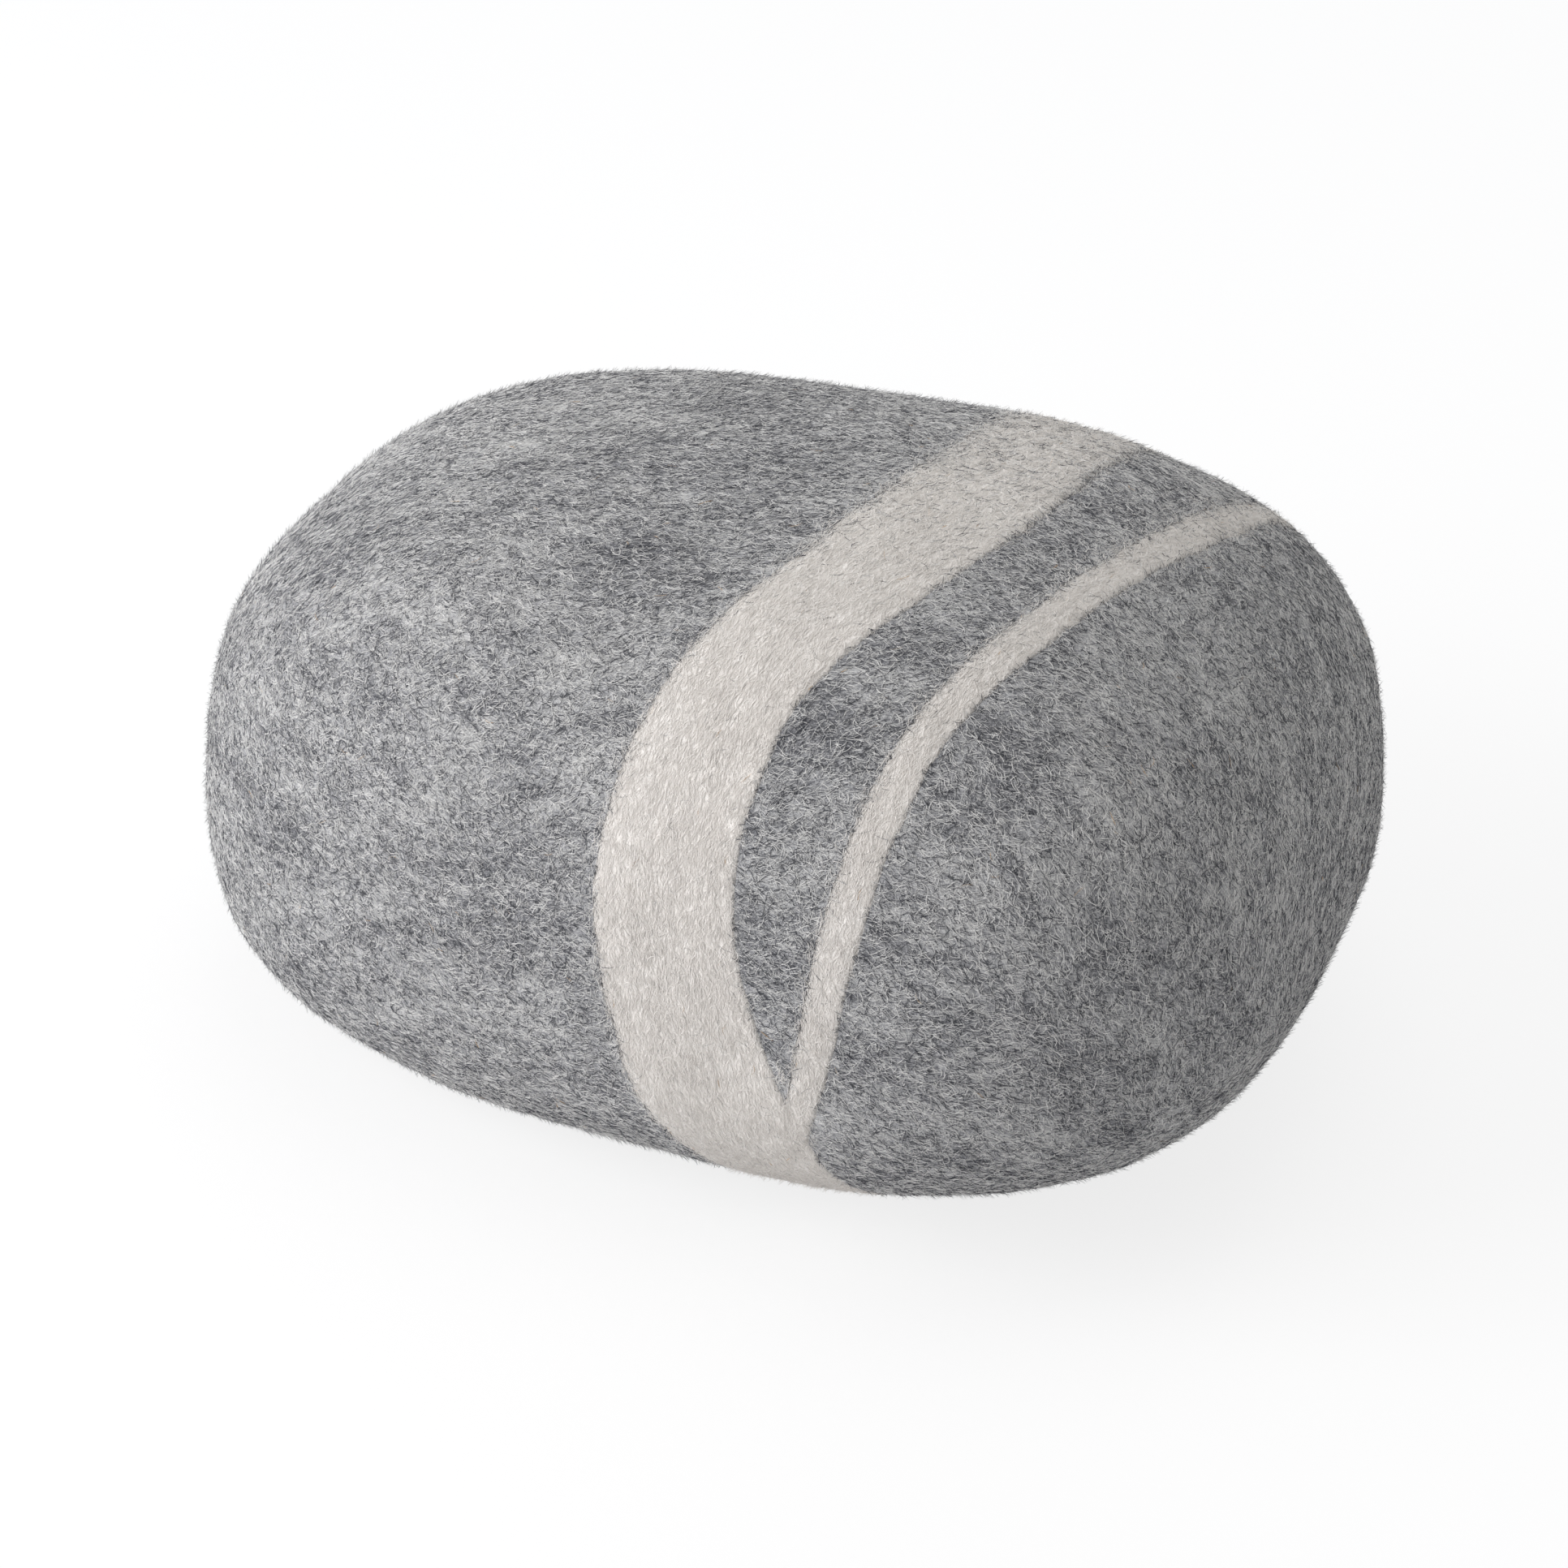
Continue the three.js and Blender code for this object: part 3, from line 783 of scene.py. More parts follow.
def metal_material():
    """Tumbled nickel plate: faint scratches, duller and darker in the hollows."""
    shader = Shader("zip_metal")
    scratches = shader.noise(0.5, 4.0, place=shader.stretched((0.3, 3.0, 3.0)))
    worn = shader.math("SUBTRACT", shader.node("NewGeometry").outputs["Pointiness"], 0.5)
    tone = shader.scaled(worn, 4.0, shader.noise(3.0, 3.0))
    stops = [(0.25, (0.26, 0.265, 0.28)), (0.6, (0.50, 0.505, 0.52)), (0.9, (0.68, 0.68, 0.69))]
    rough = shader.scaled(scratches, 0.35, 0.18)
    return shader.finish(
        shader.ramp(tone, stops), rough, height=scratches, distance=0.02, shine=0.5, Metallic=1.0)


thread = thread_material()
zip_tape = tape_material()
zip_nylon = coil_material()
zip_metal = metal_material()

TAPE_COLUMNS, TAPE_STATIONS = 27, 281  # points across it, and places along it
TAPE_EDGE = 0.5  # share of its thickness that is left at its edges
TAPE_CORD = 0.12 * MM  # how far the corded inner edge of a tape stands out
CORD_PLACE, CORD_WIDTH = 0.8 * MM, 0.6 * MM
TAPE_DIMPLE = 0.10 * MM  # how far the stitches pull the tape down
DIMPLE_WIDTH = 1.2 * MM
TAPE_RIPPLE = 0.06 * MM
RIPPLE_ALONG, RIPPLE_ACROSS = 9 * MM, 5 * MM  # the runs in which it waves by a radian
RIPPLE_UNDER = 0.5  # share of it on the tape's underside
COIL_WIRE = 0.34 * MM  # radius
COIL_PITCH = 1.25 * MM
COIL_GAP = 0.55 * MM  # from the middle of the zip to the heads of the coil
COIL_CORD = 0.5 * MM  # radius of the cord inside it, which lies a little off its middle
COIL_CORD_OFFSET = 0.1 * MM
COIL_CORD_STATIONS, COIL_CORD_SIDES = 120, 10
COIL_STEPS = 16  # points in one turn
COIL_POWER = 2.6  # how square a turn is: 2 is an ellipse
STOP_STAND = 0.35 * MM  # how far a stop stands over the tape
STOP_CORNER = 0.55 * MM
STOP_STATIONS = 25
STOP_END, STOP_END_POWER = 0.6, 8  # how much its ends are rounded off, and how suddenly
STOP_PINCH = 0.12  # share of its size that it is squeezed by in its middle
PINCH_WIDTH = 0.35  # share of its half length that this reaches
THREAD, THREAD_SIDES = 0.34 * MM, 7  # radius, and how many sides stand for its roundness
FINE_THREAD, FINE_SIDES = 0.2 * MM, 6
STITCH_LENGTH = 3.4 * MM
STITCH_STEPS = 8
STITCH_SINK = 0.5 * MM  # how far under the cloth's face its ends are
STITCH_RISE = 0.45 * MM  # how far it arches up from there
STITCH_ARCH = 0.4  # how steeply it leaves its holes: 1 is a plain arch, less is steeper
SEAM_SLANT = 0.12 * MM
TACK_PASSES = 9
TACK_SHARE = 0.97  # how far across its place a tack's thread goes
SLIDER_BEVEL, PULL_BEVEL = 0.35 * MM, 0.28 * MM


def tape_piece(node):
    """A woven tape: a corded edge at the coil, and dimples under the stitches."""
    low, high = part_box(node)
    side = 1 if high.y > 0 else -1
    inner = min(abs(low.y), abs(high.y))
    seam = sum(abs(edge.y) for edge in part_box("stitch_row_left")) / 2
    across = np.linspace(0, high.y - low.y, TAPE_COLUMNS)
    half = (high.z - low.z) / 2
    edge = np.clip(np.minimum(across, across[-1] - across) / half, 0, 1)
    cord = TAPE_CORD * np.exp(-((across - CORD_PLACE) / CORD_WIDTH) ** 2)
    half = half * np.sqrt(1 - (1 - edge) ** 2 * (1 - TAPE_EDGE ** 2)) + cord
    sections = []
    for x in np.linspace(low.x, high.x, TAPE_STATIONS):
        stitch = np.exp(-((across + inner - seam) / DIMPLE_WIDTH) ** 2)
        pull = TAPE_DIMPLE * stitch * np.cos(math.pi * (x - low.x) / STITCH_LENGTH) ** 2
        middle = (low.z + high.z) / 2
        ripple = TAPE_RIPPLE * np.sin(x / RIPPLE_ALONG + across / RIPPLE_ACROSS)
        faces = middle + half - pull + ripple, middle - half + ripple * RIPPLE_UNDER
        top, under = (np.column_stack([across * 0 + x, side * (inner + across), z]) for z in faces)
        sections.append(np.concatenate([top, under[::-1]]))
    loft_node(node, "weave", sections, material=zip_tape)


def coil_piece(node):
    """A nylon coil wound round its cord, with its heads towards the middle of the zip."""
    low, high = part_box(node)
    side = 1 if high.y > 0 else -1
    turns = int((high.x - low.x - 2 * COIL_WIRE) / COIL_PITCH)
    turn = np.linspace(0, turns, turns * COIL_STEPS + 1)
    angle = 2 * math.pi * turn + (math.pi if side > 0 else 0)
    reach = max(abs(low.y), abs(high.y))
    half_width = (reach - COIL_GAP) / 2 - COIL_WIRE
    half_height = (TAPE_LOW.z - low.z) / 2 - COIL_WIRE
    middle = (TAPE_LOW.z + low.z) / 2
    swell = super_radius(angle, COIL_POWER)
    x = low.x + COIL_WIRE + COIL_PITCH * turn
    y = (reach + COIL_GAP) / 2 + half_width * np.cos(angle) * swell
    z = middle + half_height * np.sin(angle) * swell
    wire = tube(np.column_stack([x, side * y, z]), COIL_WIRE)
    cord_x = np.linspace(low.x, high.x, COIL_CORD_STATIONS)
    cord_y = (reach + COIL_GAP) / 2 + COIL_CORD_OFFSET + 0 * cord_x
    cord_path = np.column_stack([cord_x, side * cord_y, middle + 0 * cord_x])
    cord = tube(cord_path, COIL_CORD, COIL_CORD_SIDES)
    loft_node(node, "nylon", wire, cord, material=zip_nylon)


def stop_piece(node):
    """A metal stop crimped round the tape's edge: rounded, and pinched in at its middle."""
    low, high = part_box(node)
    top = TAPE_HIGH.z + STOP_STAND
    middle = ((low.x + high.x) / 2, (low.z + top) / 2)
    along = np.linspace(-1, 1, STOP_STATIONS)
    end = np.sqrt(1 - np.abs(along) ** STOP_END_POWER * STOP_END)
    pinch = 1 - STOP_PINCH * np.exp(-((along / PINCH_WIDTH) ** 2))
    sections = []
    for place, scale in zip(along, end * pinch):
        half_width, half_height = (high.x - low.x) / 2 * scale, (top - low.z) / 2 * scale
        x, z = (rounded_outline(half_width, half_height, STOP_CORNER) + middle).T
        y = (low.y + high.y) / 2 + place * (high.y - low.y) / 2
        sections.append(np.column_stack([x, 0 * x + y, z]))
    loft_node(node, "crimp", sections, material=zip_metal)


def stitch_path(holes, up, rise):
    """The path of a thread that arches up from hole to hole along one face."""
    share = np.linspace(0, 1, STITCH_STEPS, endpoint=False)[None, :, None]
    start, gap = holes[:-1, None], (holes[1:] - holes[:-1])[:, None]
    arch = np.sin(math.pi * np.maximum(share, 1e-6)) ** STITCH_ARCH
    path = start + gap * share + up[:-1, None] * rise * arch
    return path.reshape(-1, 3)


def seam_faces(holes):
    """Threads through a row of holes: one on the tape's inner face, one on the cover's outer face."""
    up = np.tile(UPWARDS, (len(holes), 1))
    inner = holes + up * (TAPE_HIGH.z - STITCH_SINK)
    outer = holes + up * (STITCH_POCKET + STITCH_SINK)
    rise = THREAD + STITCH_RISE
    paths = stitch_path(inner, up, rise), stitch_path(outer, -up, rise)
    return [tube(path, THREAD, THREAD_SIDES) for path in paths]


def sewn(name, *threads):
    """A piece of sewing thread that stands for no node of its own."""
    seam = lofted(name, *threads, material=thread)
    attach(seam, BODY)


def stitch_row(node):
    """A lockstitched row that holds a tape to the felt; it shows on both faces."""
    low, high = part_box(node)
    x = np.arange(low.x + THREAD, high.x - THREAD, STITCH_LENGTH)
    y = (low.y + high.y) / 2 + SEAM_SLANT * np.where(np.arange(len(x)) % 2, 1, -1)
    holes = np.column_stack([x, y, 0 * x])
    loft_node(node, "thread", *seam_faces(holes), material=thread)


def bar_tack(node):
    """Close passes of thread across the end of the zip, on both faces."""
    low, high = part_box(node)
    step = np.arange(2 * TACK_PASSES)
    x = np.linspace(low.x + THREAD, high.x - THREAD, len(step))
    y = np.where(step % 2, high.y, low.y) * TACK_SHARE
    holes = np.column_stack([x, y, 0 * x])
    loft_node(node, "thread", *seam_faces(holes), material=thread)


def bevelled(node, name, width, body):
    """A metal part with its CAD shape and softly rounded edges."""
    shape = bmesh.new()
    shape.from_mesh(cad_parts[node].data)
    bmesh.ops.remove_doubles(shape, verts=shape.verts, dist=0.01 * MM)
    mesh = bpy.data.meshes.new(name)
    shape.to_mesh(mesh)
    shape.free()
    mesh.materials.clear()
    mesh.materials.append(zip_metal)
    piece = in_scene(name, mesh)
    bevel = piece.modifiers.new("rounding", "BEVEL")
    bevel.width = width
    bevel.segments = 3
    bevel.limit_method = "ANGLE"
    bevel.angle_limit = math.radians(CRISP["metal"])
    apply_modifiers(piece)
    smooth(piece, "metal")
    stands_for(piece, node, body)


for side in ("left", "right"):
    tape_piece("zip_tape_" + side)
    coil_piece("zip_coil_" + side)
    stop_piece("zip_top_stop_" + side)
    stitch_row("stitch_row_" + side)
for end in ("open_end", "closed_end"):
    bar_tack("bar_tack_" + end)
stop_piece("zip_bottom_stop")
bevelled("slider_body", "slider_casting", SLIDER_BEVEL, "slider")
bevelled("pull_tab", "pull_tab_casting", PULL_BEVEL, "pull")


# ---------- the care label ----------
LABEL_CLOTH = 0.32 * MM
LABEL_CURL = 1.1 * MM  # how far its folded end lifts off the felt
LABEL_SEAM = 1.6 * MM  # from its cut end to its stitches
LABEL_STITCH, LABEL_STITCH_RISE = 2.4 * MM, 0.4 * MM
LABEL_MARGINS = (2 * MM, 1 * MM)  # from its two sides to the ends of its stitches
LABEL_FOLD = 0.32 * MM  # half the space between the layers' middles
LABEL_WAVE, LABEL_WAVE_RUN = 0.18 * MM, 5 * MM  # how high it waves, and the run of a radian of that
LABEL_STEPS, LABEL_FOLD_STEPS, LABEL_STATIONS = 22, 9, 41  # points out, round its fold and along it


def label_material():
    """Blank satin ribbon with fine ribs."""
    shader = Shader("label_cloth")
    tone = shader.scaled(shader.ribs(shader.axes()[1], 0.5), 0.12, shader.noise(0.4))
    colour = shader.ramp(tone, [(0.2, (0.74, 0.735, 0.715)), (0.8, (0.87, 0.87, 0.855))])
    return shader.finish(colour, 0.45, height=tone, distance=0.08, shine=0.4)


def care_label():
    """A blank ribbon folded double and sewn down by its cut ends."""
    low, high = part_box("care_label")
    out = np.linspace(0, 1, LABEL_STEPS)
    curl = LABEL_CURL * out ** 2
    turn = np.linspace(-math.pi / 2, math.pi / 2, LABEL_FOLD_STEPS)
    reach = high.y - low.y - LABEL_FOLD - LABEL_CLOTH / 2
    under = np.column_stack([reach * out, curl - LABEL_FOLD])
    over = np.column_stack([reach * out, curl + LABEL_FOLD])[::-1]
    bend = np.column_stack([reach + LABEL_FOLD * np.cos(turn), LABEL_CURL + LABEL_FOLD * np.sin(turn)])
    middle = np.concatenate([under[:-1], bend, over[1:]])
    ahead = np.gradient(middle, axis=0)
    half_cloth = unit(np.column_stack([-ahead[:, 1], ahead[:, 0]])) * LABEL_CLOTH / 2
    outline = np.concatenate([middle + half_cloth, (middle - half_cloth)[::-1]])
    base = low.z + LABEL_FOLD + LABEL_CLOTH / 2
    sections = []
    for x in np.linspace(low.x, high.x, LABEL_STATIONS):
        wave = LABEL_WAVE * np.sin((x - low.x) / LABEL_WAVE_RUN) * (outline[:, 0] / reach)
        sections.append(np.column_stack([0 * wave + x, low.y + outline[:, 0], base + outline[:, 1] + wave]))
    loft_node("care_label", "ribbon", sections, material=label_material())
    x = np.arange(low.x + LABEL_MARGINS[0], high.x - LABEL_MARGINS[1], LABEL_STITCH)
    holes = np.column_stack([x, 0 * x + low.y + LABEL_SEAM, 0 * x + base + LABEL_FOLD])
    up = np.tile(UPWARDS, (len(x), 1))
    sewn("care_label_thread", tube(stitch_path(holes, up, LABEL_STITCH_RISE), FINE_THREAD, FINE_SIDES))


care_label()


# ---------- the inner cushion ----------
LINER_CLOTH = 1.2 * MM
LINER_DEPTH = 12.6 * MM  # from the cover's outer face to the middle of the cloth
LINER_SIDE = 74  # quads along each edge of its grid
LINER_SLACK = 1.7 * MM  # how far the cloth may move as it fills out
SEAM_PULL = 7 * MM  # how near the girth the seam holds the cloth still
CLOTH_SETTINGS = {
    "quality": 4, "mass": 0.2, "use_pressure": True, "uniform_pressure_force": 4.0, "shrink_min": -0.035,
    "tension_stiffness": 20.0, "compression_stiffness": 20.0, "bending_stiffness": 0.4,
    "vertex_group_mass": "seam",
}
FILL_FRAMES = 18
CUT_GAP = 0.15 * MM  # from the girth to the edge of each half
CUT_REACH, CUT_CORNER = 1.3 * HALF_LENGTH, 5 * MM  # of the box that keeps a half
BINDING_DEPTH = (13.5 * MM, 14.5 * MM)
BINDING_STITCH = 4.2 * MM
BINDING_PUCKER, BINDING_PUCKERS = 0.10 * MM, 120
BINDING_CORNER = 0.45 * MM
BINDING_PARTS = 360
BINDING_RADIUS = 0.86 * HALF_LENGTH  # its middling one
BINDING_ROWS = (-0.6, 0.6)  # where its stitches run, as shares of its half height
WADDING_DEPTH = (16.5 * MM, 40.5 * MM)
FOAM_DEPTH = 43.5 * MM
LINER_FLOOR, WADDING_FLOOR, FOAM_FLOOR = 13 * MM, 18 * MM, 43 * MM
FOAM_DIP = 0.5 * MM  # how far the foam's lumps may stand below its floor
STUFFING_SIDE = 90
# (size of the lumps, how far they stand out or in)
WADDING_LUMPS = [(40 * MM, 0.8 * MM), (14 * MM, 0.5 * MM)]
FOAM_LUMPS = [(55 * MM, 0.9 * MM), (9 * MM, 0.25 * MM)]


def cloth_material():
    """Unbleached plain-weave cotton with slubs."""
    shader = Shader("liner_cotton")
    x, y, z = shader.axes()
    warp = shader.ribs(shader.scaled(z, 0.35, x), 0.9)
    weft = shader.ribs(shader.math("ADD", y, z), 0.9)
    weave = shader.math("MULTIPLY", warp, weft)
    slubs = shader.noise(1.4, 3.0, place=shader.stretched((0.12, 1.0, 1.0)))
    tone = shader.scaled(weave, 0.10, shader.scaled(slubs, 0.6, -0.1))
    tone = shader.scaled(shader.noise(45.0, 3.0), 0.5, tone)
    stops = [(0.15, (0.62, 0.57, 0.47)), (0.5, (0.76, 0.715, 0.625)), (0.9, (0.84, 0.80, 0.73))]
    return shader.finish(
        shader.ramp(tone, stops), 0.9, height=tone, distance=0.25, **{"Sheen Weight": 0.15})


def wadding_material():
    """White polyester wadding: layered loose fibre."""
    shader = Shader("wadding")
    layers = shader.noise(4.0, 4.0, distortion=1.2, place=shader.stretched((0.3, 0.3, 1.6)))
    fluff = shader.noise(0.9, 4.0, distortion=2.0)
    tone = shader.scaled(fluff, 0.5, shader.scaled(layers, 0.5))
    colour = shader.ramp(tone, [(0.3, (0.74, 0.74, 0.73)), (0.7, (0.90, 0.90, 0.89))])
    return shader.finish(colour, 1.0, height=tone, distance=1.2, **{"Sheen Weight": 0.4})


def foam_material():
    """Open-cell upholstery foam."""
    shader = Shader("foam")
    pores = shader.node("TexVoronoi", {"Vector": shader.place, "Scale": 1 / 1.6}, feature="F1")
    cells = pores.outputs["Distance"]
    tone = shader.scaled(cells, 0.8, shader.scaled(shader.noise(60.0, 3.0), 0.5, -0.05))
    stops = [(0.2, (0.58, 0.49, 0.27)), (0.6, (0.79, 0.71, 0.45)), (0.9, (0.86, 0.79, 0.56))]
    return shader.finish(shader.ramp(tone, stops), 0.95, height=cells, distance=0.6)


def half_box(upper):
    """A tool that keeps the half of a piece above or below the girth."""
    low, high = GIRTH_HEIGHT + CUT_GAP, GIRTH_HEIGHT + CUT_REACH
    if not upper:
        low, high = -CUT_REACH, GIRTH_HEIGHT - CUT_GAP
    return block((-CUT_REACH, -CUT_REACH, low), (CUT_REACH, CUT_REACH, high), CUT_CORNER)


def halves(whole, upper_node, lower_node, suffix):
    """Splits a closed hollow form at the girth into the pieces for two nodes."""
    for node, upper in ((upper_node, True), (lower_node, False)):
        piece = in_scene(node + suffix, whole.data.copy())
        cut(piece, half_box(upper), "INTERSECT")
        smooth(piece, "cloth")
        stands_for(piece, node)
    bpy.data.objects.remove(whole)


def fill_out(piece):
    """Blows the liner out against its seam by cloth simulation, so that it puckers along the girth."""
    points = coordinates(piece.data)
    held = piece.vertex_groups.new(name="seam")
    near_seam = np.abs(points[:, 2] - GIRTH_HEIGHT) < SEAM_PULL
    on_floor = points[:, 2] < LINER_FLOOR + LINER_CLOTH
    held.add([int(i) for i in np.flatnonzero(near_seam | on_floor)], 1.0, "REPLACE")
    cloth = piece.modifiers.new("cloth", "CLOTH")
    for key, value in CLOTH_SETTINGS.items():
        setattr(cloth.settings, key, value)
    cloth.settings.effector_weights.gravity = 0.0
    scene = bpy.context.scene
    for frame_number in range(1, FILL_FRAMES + 1):
        scene.frame_set(frame_number)
    graph = bpy.context.evaluated_depsgraph_get()
    moved = bpy.data.meshes.new_from_object(piece.evaluated_get(graph))
    shift = coordinates(moved) - points
    bpy.data.meshes.remove(moved)
    piece.modifiers.clear()
    scene.frame_set(1)
    far = np.linalg.norm(shift, axis=1)[:, None]
    shift *= LINER_SLACK * np.tanh(far / LINER_SLACK) / np.maximum(far, 1e-9)
    piece.data.vertices.foreach_set("co", (points + shift).ravel())


def liner(material):
    """The cotton liner's two panels, filled out and then cut at their seam."""
    points, quads = stone_layer(LINER_SIDE, LINER_DEPTH, LINER_FLOOR + LINER_CLOTH / 2, rough=False)
    skin = mesh_object("liner_cloth", points, quads, material)
    fill_out(skin)
    thicken = skin.modifiers.new("thickness", "SOLIDIFY")
    thicken.thickness = LINER_CLOTH
    thicken.offset = 0.0
    apply_modifiers(skin)
    halves(skin, "liner_upper_panel", "liner_lower_panel", "_cloth")


def ring_at(azimuth, height, depth):
    """Points on a layer of the stone at a height, by the direction they lie in from above."""
    x, y = np.cos(azimuth), np.sin(azimuth)
    level = np.full(len(azimuth), height)
    return where_rays_leave(
        lambda radius: np.column_stack([CENTRE[0] + x * radius, CENTRE[1] + y * radius, level]),
        len(azimuth), CORNER_REACH, depth)


def seam_binding(material):
    """A cotton tape folded over the liner's seam inside it, with its two rows of stitches."""
    azimuth = np.linspace(0, 2 * math.pi, BINDING_PARTS, endpoint=False)
    low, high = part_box("liner_seam_binding")
    half_height = (high.z - low.z) / 2
    pucker = BINDING_PUCKER * np.sin(azimuth * BINDING_PUCKERS)
    outer, inner = BINDING_DEPTH
    outline = rounded_outline(half_height, (inner - outer) / 2, BINDING_CORNER)
    sections = np.stack([
        ring_at(azimuth, GIRTH_HEIGHT + up, (outer + inner) / 2 + inwards) for up, inwards in outline
    ], axis=1)
    centre = np.append(CENTRE[:2], GIRTH_HEIGHT)
    sections += (sections - centre) / HALF_LENGTH * pucker[:, None, None]
    loft_node("liner_seam_binding", "tape", sections, material=material, ring=True)
    rows = []
    azimuth = np.linspace(0, 2 * math.pi, int(2 * math.pi * BINDING_RADIUS / BINDING_STITCH))
    for row in BINDING_ROWS:
        holes = ring_at(azimuth, GIRTH_HEIGHT + row * half_height, inner)
        inwards = unit((centre - holes) * (1 - UPWARDS))
        path = stitch_path(holes - inwards * FINE_THREAD, inwards, STITCH_RISE)
        rows.append(tube(path, FINE_THREAD, FINE_SIDES))
    sewn("liner_seam_thread", *rows)


def lumpy_layer(depth, floor_height, lumps, use):
    """One layer of the stuffing, with soft lumps."""
    points, quads = stone_layer(STUFFING_SIDE, depth, floor_height, rough=False)
    return points + normals_of(points, quads) * layered(points, lumps, use)[:, None], quads


def wadding(material):
    """Two thick shells of wadding round the foam."""
    outer, inner = WADDING_DEPTH
    layer = lumpy_layer(outer, WADDING_FLOOR, WADDING_LUMPS, "wadding")
    whole = mesh_object("wadding_layer", *layer, material)
    hollow = stone_layer(STUFFING_SIDE // 2, inner, WADDING_FLOOR + inner - outer, rough=False)
    cut(whole, mesh_object("wadding_hollow", *hollow))
    halves(whole, "wadding_upper", "wadding_lower", "_batt")


def foam_core(material):
    """The carved foam core, with the shallow facets a knife leaves."""
    points, quads = lumpy_layer(FOAM_DEPTH, FOAM_FLOOR, FOAM_LUMPS, "foam")
    points[:, 2] = np.maximum(points[:, 2], FOAM_FLOOR - FOAM_DIP)
    stands_for(mesh_object("foam_core_block", points, quads, material), "foam_core")


liner_cotton = cloth_material()
liner(liner_cotton)
seam_binding(liner_cotton)
wadding(wadding_material())
foam_core(foam_material())


# ---------- loose fibres ----------
FIBRE_COUNT = 600000
FIBRE_SHARES = (0.87, 0.11, 0.02)  # of the fibres, on the cover and on the wide and narrow veins
OUTER_LEVEL, BASE_HEIGHT = 0.97, 1 * MM  # outer faces are over this stone_level, or else this low
FIBRE_TAPER = np.array([0.35, 0.9, 1.0, 0.9, 0.3])  # its thickness at each of its points
FIBRE_POINTS = len(FIBRE_TAPER)
FIBRE_LENGTH = (2.5 * MM, 8 * MM)
FIBRE_RADIUS = (0.07 * MM, 0.165 * MM)
FIBRE_BEND = 1.0  # radians
LAY_SCATTER = 0.75
WHITE_SCATTER = 0.4
LYING_HEIGHT = (0.05 * MM, 0.45 * MM)  # how high a lying fibre's two ends are
LOOSE_SHARE = 0.20  # fibres with one end free of the surface, which are finer
LOOSE_FINENESS = 0.55
STREWN_FINENESS, COARSEST_STREWN = 0.45, 0.85  # grey hairs on the white are finer, but less so in haze
STREWN_POWER = 3  # how fast their number grows with the haze
LOOSE_HEIGHT = (0.7 * MM, 3.2 * MM)
LOOSE_POWER = 1.6  # more of them end low than high
BRIDGE, BRIDGE_SHARE = 7 * MM, 0.4  # white wisps join the veins where both are this near
CREASE_SHADE_WIDTH, CREASE_SHADE_DEPTH = 1.6 * MM, 0.3  # painted shade, partly darker grey wool: the dark line in the crease along a vein's raised right edge
GREY_SPREAD = 0.73  # how much fibres differ in tone
WHITE_SPREAD = 0.12
STRAY_SHARE = 0.0006  # straw-coloured fibres carded in by chance


def sample_surface(piece, count, rng):
    """Random points and normals on a mesh's outer face."""
    a, b, c = triangles(piece.data)
    normal = np.cross(b - a, c - a)
    area = np.linalg.norm(normal, axis=1)
    middle = (a + b + c) / 3
    outer = (stone_level(middle) > OUTER_LEVEL) | (middle[:, 2] < BASE_HEIGHT)
    facing = np.einsum("ij,ij->i", normal, middle - CENTRE) > 0
    weight = np.where(outer & facing, area, 0)
    pick = rng.choice(len(weight), count, p=weight / weight.sum())
    u, v = rng.random((2, count))
    over = u + v > 1
    u, v = np.where(over, 1 - u, u), np.where(over, 1 - v, v)
    found = a[pick] + (b - a)[pick] * u[:, None] + (c - a)[pick] * v[:, None]
    return found, normal[pick] / area[pick][:, None]


def between(limits, shares):
    return limits[0] + (limits[1] - limits[0]) * shares


def wool_at(roots, rng):
    """Which fibres are white, which lie grey on a vein, how hazy the vein is, and the painted shade in the
    crease along its right edge.
    """
    total = len(roots)
    depths = vein_depths(roots)
    in_narrow = np.minimum(*depths[1]) > -BRIDGE / 2
    mixing = np.where(in_narrow, haze(roots, NARROW), haze(roots, WIDE))
    loose, firm = (width * rng.normal(size=total) for width in edge_widths(mixing))
    white = np.any([(left + loose > 0) & (right + firm > 0) for left, right in depths], axis=0)
    hairs = np.where(in_narrow, NARROW["hairs"], WIDE["hairs"]) * mixing ** STREWN_POWER
    strewn = white & (rng.random(total) < hairs)
    white &= ~strewn
    near = np.all([np.minimum(left, right) > -BRIDGE for left, right in depths], axis=0)
    white |= near & (rng.random(total) < BRIDGE_SHARE)
    # painted shade, partly darker grey wool: grey fibres darken in the crease along each vein's raised
    # right edge
    crease_shade = sum(np.exp(-((right / CREASE_SHADE_WIDTH) ** 2)) * (left > 0) for left, right in depths)
    return white, strewn, mixing, crease_shade


def strands(roots, normals, lay, scatter, rng):
    """The points of bent fibres, each with its middle near its root, and which of them stand free."""
    total = len(roots)
    side = np.cross(normals, lay)
    length = between(FIBRE_LENGTH, rng.random(total))
    bend = rng.normal(size=total) * FIBRE_BEND
    low, high = (between(LYING_HEIGHT, rng.random(total)) for _ in range(2))
    free = rng.random(total) < LOOSE_SHARE
    high = np.where(free, between(LOOSE_HEIGHT, rng.random(total) ** LOOSE_POWER), high)
    points = np.empty((total, FIBRE_POINTS, 3))
    along, across = -length / 2 * np.cos(scatter), -length / 2 * np.sin(scatter)
    for i, step in enumerate(np.linspace(-0.5, 0.5, FIBRE_POINTS)):
        if i:
            along += np.cos(scatter + bend * step) * length / (FIBRE_POINTS - 1)
            across += np.sin(scatter + bend * step) * length / (FIBRE_POINTS - 1)
        height = low + (high - low) * (step + 0.5) ** 2
        points[:, i] = roots + sum(
            way * distance[:, None] for way, distance in ((lay, along), (side, across), (normals, height)))
    points[:, :, 2] = np.maximum(points[:, :, 2], -LYING_HEIGHT[1])
    return points, free


